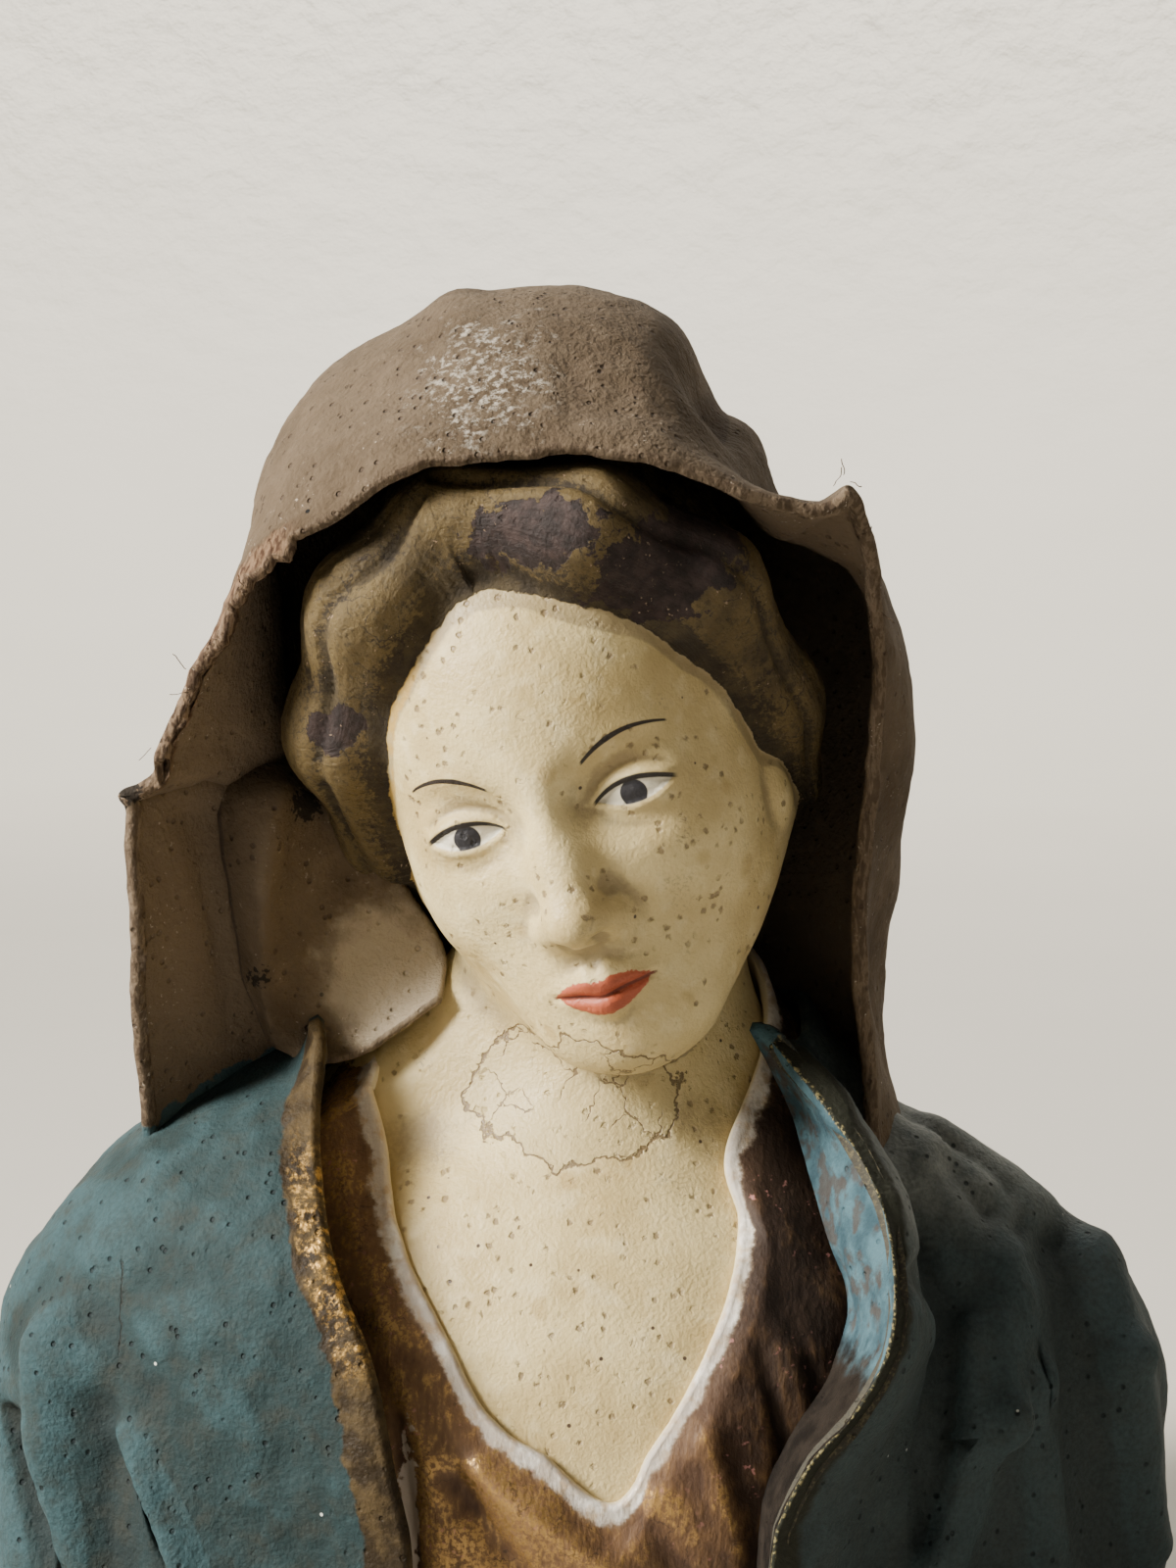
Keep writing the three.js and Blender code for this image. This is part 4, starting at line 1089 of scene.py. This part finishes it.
def terracotta():
    m = Paint("painted_terracotta", 0.42, 0.35)
    fine, broad, middle = m.noise(0.45, 5), m.noise(10, 4, 1), m.noise(2.6, 4, 2)
    place = m.parts(m.place)
    head = m.parts(m.attribute("head", "Vector"))
    hollow = m.attribute("hollow")

    # Aged cream paint: yellowed, speckled and grimy in the hollows
    grime = (hollow + (fine - 0.5) * 0.25).step(0.03, 0.3)
    smudges = m.noise(5, 5, 9).step(0.56, 0.72) * m.noise(0.35, 3, 3).step(0.5, 0.64)
    pits = (m.cells(1.5) + (fine - 0.5) * 0.5).step(0.26, 0.1) * m.noise(5, 4, 4).step(0.42, 0.54)
    stains = m.cells(7, 9).step(0.2, 0.12) * m.noise(9, 2, 21).step(0.48, 0.56)
    dots = m.cells(3.1, 3).step(0.075, 0.05) * m.noise(7, 2, 8).step(0.45, 0.5)
    # A repaired patch on the neck, with a cracked outline
    patch = m.near(place, (-1.2, -8.5, 51.2), (10.2, 30, 6.4)) + m.wander(3.4, 4, 5)
    in_front = place[1].step(4, 0)
    outline = abs(patch - 1).step(0.035, 0.012) * in_front
    in_patch = patch.step(1.02, 0.98) * in_front
    cracked = outline | in_patch * m.cracks(4.2, 1, (0.022, 0.008)) * m.noise(5, 2, 12).step(0.5, 0.56)
    cream = m.layers(
        m.blend(broad.step(0.3, 0.7), (0.49, 0.37, 0.165), (0.67, 0.54, 0.275)),
        (middle.step(0.5, 0.72) * 0.5, (0.74, 0.63, 0.37)),
        (m.noise(1.7, 3, 6).step(0.62, 0.74) * 0.35, (0.42, 0.32, 0.13)),
        (grime * 0.6, (0.2, 0.15, 0.085)),
        (smudges * 0.55, (0.24, 0.19, 0.11)),
        (pits * 0.75, (0.17, 0.115, 0.06)),
        (stains * 0.45, (0.36, 0.24, 0.08)),
        (dots, (0.07, 0.045, 0.03)),
        (in_patch * 0.75, (0.5, 0.4, 0.2)),
        (cracked * 0.85, (0.13, 0.085, 0.045)),
    )

    # The painted face
    names = ("opening", "iris", "lid", "brow", "beside", "lips", "parting")
    opening, iris, lid, brow, beside, lips, parting = (m.attribute(name) for name in names)
    eye = opening.step(-0.1, 0.15)
    glint = iris.step(1.35, 1.6) * lid.step(-1.6, -1.3)
    lash = abs(lid - 0.1).step(0.5, 0.26) * abs(beside).step(7.6, 6.6)
    brow_width = 0.52 - abs(beside + 1.5) * 0.034
    in_brow = (abs(brow) - brow_width).step(0.1, -0.1) * abs(beside - 0.6).step(7.6, 7)
    rouge = lips + (m.noise(0.5, 3, 7) - 0.62) * 1.2
    mouth = abs(parting).step(0.45, 0.15) * rouge.step(-0.4, 0.1)
    cream = m.layers(
        cream,
        (eye, (0.68, 0.63, 0.5)),
        (eye * iris.step(-0.12, 0.12), (0.022, 0.021, 0.025)),
        (eye * glint * 0.35, (0.3, 0.32, 0.36)),
        (lash, (0.02, 0.016, 0.014)),
        (in_brow, (0.025, 0.018, 0.014)),
        (rouge.step(-0.1, 0.2) * 0.93, (0.36, 0.055, 0.025)),
        (mouth * 0.8, (0.1, 0.02, 0.012)),
    )

    # Hair: olive brown dusted with gold, with purple where the top coat has gone
    combed = m.noise(0.6, 5, 3, stretch=(5, 1, 1), at=m.attribute("combed", "Vector"))
    strokes = combed * 0.45 + m.noise(0.55, 6, 24, 0.7) * 0.55
    ridge = strokes + m.noise(1.1, 4, 15) * 0.6 - hollow * 0.9
    grain = m.noise(0.5, 6, 25, 0.75) + (ridge - 0.85) * 0.45
    dusted = grain.step(0.48, 0.62) * m.noise(7, 3, 14).step(0.3, 0.6).mix(0.35, 1)
    ragged = (m.noise(2.2, 6, 16, 0.65) - 0.5) * 2.2
    bare = 0
    for centre, radii in BARE_SPOTS:
        bare = (m.near(head, centre, radii) + ragged).step(1.03, 0.97) | bare
    purple = m.blend(m.noise(1.4, 4, 17).step(0.35, 0.7), (0.014, 0.008, 0.007), (0.04, 0.024, 0.021))
    chips = m.noise(0.5, 4, 22, 0.6).step(0.64, 0.7) * m.noise(4, 3, 23).step(0.5, 0.6)
    cracks = m.cracks(2.6, 4, (0.03, 0.01)) * m.noise(4, 2, 18).step(0.5, 0.56)
    brown = m.layers(
        m.blend(m.noise(3, 4, 13).step(0.35, 0.65), (0.026, 0.018, 0.009), (0.058, 0.041, 0.018)),
        (dusted * 0.6, (0.165, 0.112, 0.038)),
        (m.noise(0.6, 6, 26, 0.75).step(0.5, 0.62) * 0.5, (0.02, 0.014, 0.007)),
        (bare, purple),
        (chips * 0.8, (0.36, 0.25, 0.17)),
        (cracks * 0.7, (0.015, 0.01, 0.008)),
    )

    # Yellowed glue beside the hair on the left, and a chipped stretch of its edge
    edge = m.attribute("hair_over") + m.wander(1.6, 4, 19) * 0.9
    on_head = head[2].step(-34, -30)
    glue = edge.step(-1, -0.7) * head[0].step(-8, -14) * on_head * m.noise(4, 2, 20).step(0.4, 0.5)
    chipped = abs(edge - 0.15).step(0.3, 0.15) * m.near(head, (14, -34, 41), (9, 20, 5)).step(1, 0.8)
    in_hair = edge.step(-0.06, 0.06) * on_head
    colour = m.layers(
        cream,
        (glue * 0.75, (0.43, 0.27, 0.06)),
        (in_hair, brown),
        (chipped * 0.9, (0.75, 0.7, 0.6)),
    )
    height = fine + middle * 0.8 - (cracked | pits) * 1.2 + in_hair * strokes * 3.2 - bare * 0.5
    shine = in_hair.mix(middle.step(0.35, 0.7).mix(0.38, 0.55), dusted.mix(0.8, 0.62))
    return m.finish(colour, height, 0.7, 0.18, shine, in_hair * dusted * 0.15)


def robe_cloth():
    m = Paint("robe_cloth", 0.5, 0.35)
    x, y, z = m.parts(m.place)
    weave, brush = m.noise(0.5, 4), m.noise(0.8, 5, 1, stretch=(0.7, 1, 2))

    # Gold powder brushed over the ridges, thickest on the left and below. The lighter brown wash with it is
    # partly painted light, strongest on the left towards the lamp and fading away to the right
    gold_and_painted_light = brush * 0.9 + m.noise(14, 2, 4) * 0.6 - m.attribute("hollow") * 1.5
    gold_and_painted_light = gold_and_painted_light + z.step(34, 8) * 0.2 - x.step(2, 14) * 0.42
    wash_and_painted_light = (gold_and_painted_light + x.step(-13, -18) * 0.15).step(0.4, 1.1)
    gold = gold_and_painted_light.step(0.8, 1.05) * m.noise(0.45, 5, 5, 0.65).step(0.42, 0.56)
    flecks = m.noise(0.8, 3, 6).step(0.62, 0.7) * m.noise(6, 2, 7).step(0.48, 0.6)
    # A pale chipped strip low on the left
    strip = m.near((x, y, z), (-16.6, -20, 12), (1.3, 30, 12)) + m.wander(1.3, 4, 8) * 1.6
    cracks = m.cracks(3.6, 2, (0.016, 0.006)) * m.noise(6, 2, 9).step(0.5, 0.56)
    # A white trim brushed along the neckline, and glue that has yellowed there
    width = m.attribute("from_neck") + m.wander(2.2, 4, 10) * 2.6 + m.wander(0.4, 2, 11) * 0.8
    patchy = (m.noise(3.5, 4, 13) + m.noise(0.6, 3, 14) * 0.3).step(0.5, 0.68)
    trim = width.step(1.9, 1.2) * patchy.mix(0.95, 0.5)
    white = m.blend(m.noise(1.5, 3, 12).step(0.45, 0.7), (0.7, 0.66, 0.6), (0.56, 0.44, 0.3))
    colour = m.layers(
        m.blend(m.noise(8, 4, 2).step(0.35, 0.7), (0.05, 0.024, 0.013), (0.095, 0.05, 0.025)),
        # Painted shade: the right side of the robe made darker
        (x.step(8, 18) * 0.75, (0.012, 0.006, 0.003)),
        (wash_and_painted_light * 0.75, (0.2, 0.108, 0.045)),
        (gold * 0.75, (0.5, 0.31, 0.11)),
        (flecks * 0.7, (0.42, 0.18, 0.16)),
        (strip.step(0.85, 0.7) * 0.8, (0.6, 0.5, 0.4)),
        (cracks * 0.6, (0.025, 0.014, 0.01)),
        (width.step(2.3, 1.2) * 0.4, (0.45, 0.34, 0.24)),
        (trim, white),
        # Painted light: its rim and inside in cream like the skin, which takes the shade out of the gap along
        # the neckline
        (m.attribute("side").step(0.25, 0.45), (0.58, 0.5, 0.33)),
    )
    shine = gold.mix(wash_and_painted_light.mix(0.7, 0.5), 0.34)
    return m.finish(colour, weave * 0.6 + brush + trim * 0.3, 0.55, 0.22, shine, gold * 0.8 * (1 - trim))


def mantle_cloth():
    m = Paint("mantle_cloth", 0.6, 0.1)
    x, y, z = m.parts(m.place)
    weave, middle, broad = m.noise(0.55, 4), m.noise(3, 5, 1), m.noise(13, 5, 2)
    # Painted light and shade of the folds: lighter on their ridges, darker in their grooves and hollows
    high = m.attribute("fold") * 0.5 - m.attribute("hollow") * 4 + (middle - 0.5)
    # A pale patch on the ridge of the right shoulder: a painted sheen where the light would catch it
    wear_and_painted_sheen = x.step(20, 32) * z.step(35, 44) * y.step(14, 4) * middle.step(0.1, 0.6)
    specks = m.cells(1.7, 2).step(0.2, 0.09) * m.noise(5, 3, 4).step(0.42, 0.52)
    flecks = m.cells(4.2, 5).step(0.05, 0.03) * m.noise(9, 2, 6).step(0.5, 0.55)
    base = m.layers(
        m.blend(broad.step(0.3, 0.7), (0.013, 0.024, 0.025), (0.024, 0.044, 0.048)),
        (high.step(0, 1.6) * 0.7, (0.037, 0.075, 0.086)),
        (high.step(-0.3, -2.6) * 0.55, (0.012, 0.015, 0.015)),
        (m.noise(2.8, 6, 3, 0.6).step(0.4, 0.8) * 0.75, (0.03, 0.031, 0.025)),
        # Painted light: lighter towards the right, over the side that lies in shade
        (x.step(4, 24) * 0.6, (0.056, 0.068, 0.069)),
        (wear_and_painted_sheen, (0.165, 0.176, 0.166)),
        (m.noise(0.5, 5, 13, 0.7).step(0.35, 0.7) * 0.35, (0.012, 0.016, 0.016)),
        (specks * 0.8, (0.015, 0.02, 0.022)),
        (flecks, (0.6, 0.62, 0.58)),
    )

    # The gold border of the left edge, bright in the middle and dull olive below
    ragged = m.wander(2, 5, 7) * 2.4
    border = m.attribute("from_left") + ragged
    in_border = border.step(4.1, 3.6)
    bright = abs(z - 38).step(12, 5) * m.noise(1, 5, 8).step(0.38, 0.52)
    gold = bright * m.noise(1, 8, 9, 0.75).step(0.45, 0.62) * border.step(3.4, 2.6)
    olive = m.blend(middle.step(0.4, 0.65), (0.022, 0.015, 0.008), (0.065, 0.045, 0.021))
    olive = m.blend(gold * 0.85, olive, (0.42, 0.25, 0.07))

    # The lapel: a thin gold-green line on its ridge, an olive band outside it and a light-blue lining,
    # which is dark low down with painted shade
    ridge = m.attribute("from_ridge")
    right = x.step(0, 5)
    lining = ridge.step(-0.1, -0.4) * right
    rubbed = (m.noise(2.4, 4, 10) + ridge.step(-1.5, -4.5) * 0.14).step(0.6, 0.75)
    spotted = middle.step(0.35, 0.65)
    dark = m.blend(spotted, (0.006, 0.0045, 0.0035), (0.017, 0.013, 0.01))
    blue = m.layers(
        m.blend(spotted, (0.028, 0.055, 0.07), (0.06, 0.115, 0.14)),
        (rubbed * 0.7, (0.05, 0.032, 0.022)),
        # Painted shade: the lining dark low down
        ((z + (middle - 0.5) * 5).step(31.5, 28.5), dark),
    )
    line = abs(ridge + 0.1).step(0.5, 0.25) * right * m.noise(0.4, 3, 11).step(0.5, 0.62)

    # One long crack on the left
    crack = abs(x + 43.7 + m.wander(2.2, 4, 12) * 2.2).step(0.13, 0.05)
    crack = crack * abs(z - 32).step(4.6, 3.6) * y.step(0, -4)
    colour = m.layers(
        base,
        (in_border, olive),
        ((ridge + ragged).step(3.4, 2.2) * right, (0.024, 0.025, 0.018)),
        (lining, blue),
        (line, (0.2, 0.17, 0.08)),
        (crack * 0.8, (0.02, 0.022, 0.02)),
        (m.attribute("side").step(0.7, 0.9) * 0.7, (0.06, 0.055, 0.045)),
    )
    shine = gold.mix(spotted.mix(0.5, 0.68), 0.34)
    shine = lining.mix(in_border.mix(0.7, shine), 0.9)
    height = weave * 0.8 + middle - (crack | specks)
    return m.finish(colour, height, 0.75, 0.35, shine, gold * in_border * 0.8)


# Crumbs of dark glue where the veil's left side is pinched and drawn in: places and radii
CRUMBS = [((-42.6, -9, 80.3), 1.5), ((-27, 0, 78), 1.9), ((-31.5, 1, 61.5), 1.5)]


def veil_cloth():
    m = Paint("veil_cloth", 0.85, 0.15)
    place = m.parts(m.place)
    weave, middle, broad = m.noise(0.6, 5), m.noise(2.4, 5, 1), m.noise(11, 5, 2)
    # Worn, smoother paint at the front of the dome
    wear_and_painted_sheen = m.near(place, (-9.5, -14, 118), (7, 14, 8)) + (middle - 0.5) * 2
    wear_and_painted_sheen = wear_and_painted_sheen.step(1.15, 0.3) * m.noise(0.8, 6, 4, 0.75).step(0.48, 0.62)
    pits = m.cells(1.4, 1).step(0.24, 0.1) * m.noise(3.2, 3, 5).step(0.42, 0.52)
    dots = m.cells(4.5, 6).step(0.06, 0.045) * m.noise(9, 2, 7).step(0.5, 0.54)
    # Painted light: a pale pool on the inner cloth beside the neck, where the light falls in
    pale = m.near(place, (-19, 2, 61), (8, 8, 8.5)) + (middle - 0.5) * 0.8
    base = m.layers(
        m.blend(broad.step(0.3, 0.7), (0.07, 0.049, 0.03), (0.105, 0.076, 0.049)),
        (middle.step(0.48, 0.7) * 0.4, (0.14, 0.105, 0.07)),
        (m.attribute("hollow").step(0.02, 0.2) * 0.6, (0.045, 0.029, 0.018)),
        (m.noise(4, 4, 3).step(0.55, 0.75) * 0.35, (0.09, 0.062, 0.043)),
        (wear_and_painted_sheen * 0.8, (0.42, 0.38, 0.32)),
        (pits * 0.7, (0.07, 0.048, 0.035)),
        (dots, (0.012, 0.012, 0.012)),
        # Painted shade along the creases on the left
        (m.attribute("crease").step(0.35, 0.8) * 0.75, (0.05, 0.036, 0.028)),
        # The inside paler, which also paints light onto the shaded inside of the left flap
        (m.attribute("side").step(0.6, 0.9) * 0.6, (0.17, 0.125, 0.085)),
        (pale.step(1.1, 0.5) * 0.7, (0.42, 0.35, 0.25)),
    )

    # Where the edge is torn the cloth's own red-brown fibres show
    edge = m.attribute("from_edge")
    fibre = m.noise(0.5, 5, 8, stretch=(1, 1, 3.5))
    torn = (edge + m.wander(1.6, 4, 9) * 3).step(2.3, 1.5) * m.attribute("torn")
    rust = m.blend(fibre.step(0.4, 0.62), (0.05, 0.025, 0.014), (0.18, 0.113, 0.067))
    rim = (edge + (fibre - 0.5) * 1.2).step(0.3, 0.05)
    bare = m.blend(fibre.step(0.42, 0.6), (0.07, 0.048, 0.032), (0.19, 0.14, 0.095))
    chips = m.noise(0.5, 5, 10, 0.6).step(0.62, 0.68) * m.noise(3.5, 3, 11).step(0.5, 0.58)
    crumbs = [m.near(place, spot, (radius, 3, radius)) + (weave - 0.5) * 2.4 for spot, radius in CRUMBS]
    # Blue paint from the mantle along its foot on the left
    foot = (m.attribute("above_mantle") + (middle - 0.5) * 5).step(1.7, 1.3)
    foot = foot * m.attribute("left") * place[1].step(12, 8)
    colour = m.layers(
        base,
        (torn, rust),
        (rim * 0.6, bare),
        (chips * edge.step(9, 1).mix(0.25, 1) * 0.75, (0.46, 0.39, 0.31)),
        *[(crumb.step(0.9, 0.7) * 0.9, (0.012, 0.01, 0.008)) for crumb in crumbs],
        (foot * 0.85, (0.03, 0.075, 0.09)),
    )
    return m.finish(colour, weave + middle - (pits | torn * fibre), 0.9, 0.4, wear_and_painted_sheen.mix(0.86, 0.7))


# The pieces

LAPEL_COLUMNS = 8
SUNK_DEPTH = 1.2  # what lies deeper in the mantle is left out of the veil
INNER_CLOTH = 0.9

points, faces, shape = figure_mesh()
points, marks = fine_head(points, faces)
marks["hollow"] = hollowness(points, faces, shape, True, 6)
make_piece("head_and_chest.fine", points, faces, marks, "head_and_chest", "painted_terracotta", terracotta())

robe = thicken(*robe_sheet(scaled(90), scaled(320)), ROBE_CLOTH)
make_piece("robe.fine", *robe, "robe", "robe_cloth", robe_cloth())

*sheet, normals = mantle_sheet(scaled(130), scaled(320), LAPEL_COLUMNS)
make_piece("mantle.fine", *thicken(*sheet, CLOTH, normals), "mantle", "mantle_cloth", mantle_cloth())

points, faces, marks = veil_sheet(scaled(150), scaled(130))
turn, lift, far = place_of(SHOULDER_CENTRE, points)
marks["above_mantle"] = far - mantle_reach(turn, lift)
sunk = marks["above_mantle"] < -SUNK_DEPTH
sheet = compact(points, faces[~sunk[faces].all(axis=1)], marks)
inner = thicken(*inner_fold(scaled(80), scaled(80)), INNER_CLOTH)
veil = merged(thicken(*sheet, CLOTH), inner, fibres())
make_piece("veil.fine", *veil, "veil", "veil_cloth", veil_cloth())


# A plain pale floor that bends up softly into walls all round
FLOOR = {"radius": 1500, "bend": 600, "height": 1700, "below": 0.4}


def backdrop():
    m = Paint("plaster", 0.9)
    colour = m.blend(m.noise(120, 3), (0.42, 0.4, 0.36), (0.46, 0.44, 0.4))
    plaster = m.noise(26, 4) * m.parts(m.place)[2].step(60, 360)
    material = m.finish(colour, plaster, 1, 9)
    bend = np.radians(np.linspace(0, 90, 16))
    inner = FLOOR["radius"] - FLOOR["bend"]
    profile = [(1.0, 0.0), (300.0, 0.0)]
    profile += [(inner + FLOOR["bend"] * math.sin(a), FLOOR["bend"] * (1 - math.cos(a))) for a in bend]
    profile.append((FLOOR["radius"], FLOOR["height"]))
    turn = np.linspace(0, 2 * math.pi, 96, endpoint=False)
    ring = np.stack([np.sin(turn), np.cos(turn)], -1)
    rows = np.array([[(r * x, r * y, z - FLOOR["below"]) for x, y in ring] for r, z in profile]) * 0.001
    mesh = bpy.data.meshes.new("backdrop")
    faces = grid_faces(len(profile), len(turn), True).tolist() + [list(range(len(turn)))]
    mesh.from_pydata(rows.reshape(-1, 3).tolist(), [], faces)
    mesh.shade_smooth()
    mesh.materials.append(material)
    wall = bpy.data.objects.new("backdrop", mesh)
    bpy.context.scene.collection.objects.link(wall)


def lamp(name, place, target, width, height, watts, colour, spread=180):
    light = bpy.data.lights.new(name, "AREA")
    light.shape = "RECTANGLE"
    light.size, light.size_y = width, height
    light.energy = watts
    light.spread = math.radians(spread)
    light.color = colour
    holder = bpy.data.objects.new(name, light)
    holder.location = place
    aim = np.array(target, float) - np.array(place, float)
    holder.rotation_euler = Vector(aim).to_track_quat("-Z", "Y").to_euler()
    bpy.context.scene.collection.objects.link(holder)


backdrop()
lamp("window", (-1.05, -0.36, 0.66), (0, 0, 0.07), 0.4, 0.55, 6.1, (1.0, 0.955, 0.87), spread=50)
lamp("room", (0.8, -0.9, 0.5), (0, 0, 0.07), 1.2, 1.2, 0.15, (0.85, 0.92, 1.0))
# Lights on the walls all round, the strongest on the wall behind
for side, (x, y, watts) in enumerate(((0, 1, 52), (-1, 0, 2.2), (1, 0, 2.2), (0, -1, 2.2))):
    place, target = (0.85 * x, 0.85 * y, 1.15), (1.5 * x, 1.5 * y, 0.3)
    lamp(f"wall_light_{side}", place, target, 1.3, 0.4, watts, (1, 0.96, 0.88))
world = bpy.data.worlds.new("room_light")
world.use_nodes = True
background = world.node_tree.nodes["Background"]
background.inputs["Color"].default_value = (0.8, 0.85, 0.9, 1)
background.inputs["Strength"].default_value = 0.03
bpy.context.scene.world = world

camera = bpy.data.cameras.new("camera")
camera.sensor_fit = "AUTO"
camera.sensor_width = 36
camera.lens = 36 / 2 / (70 / 300)
holder = bpy.data.objects.new("camera", camera)
holder.location = (0, -0.320858, 0.108147)
holder.rotation_euler = (math.radians(85), 0, 0)
bpy.context.scene.collection.objects.link(holder)
bpy.context.scene.camera = holder
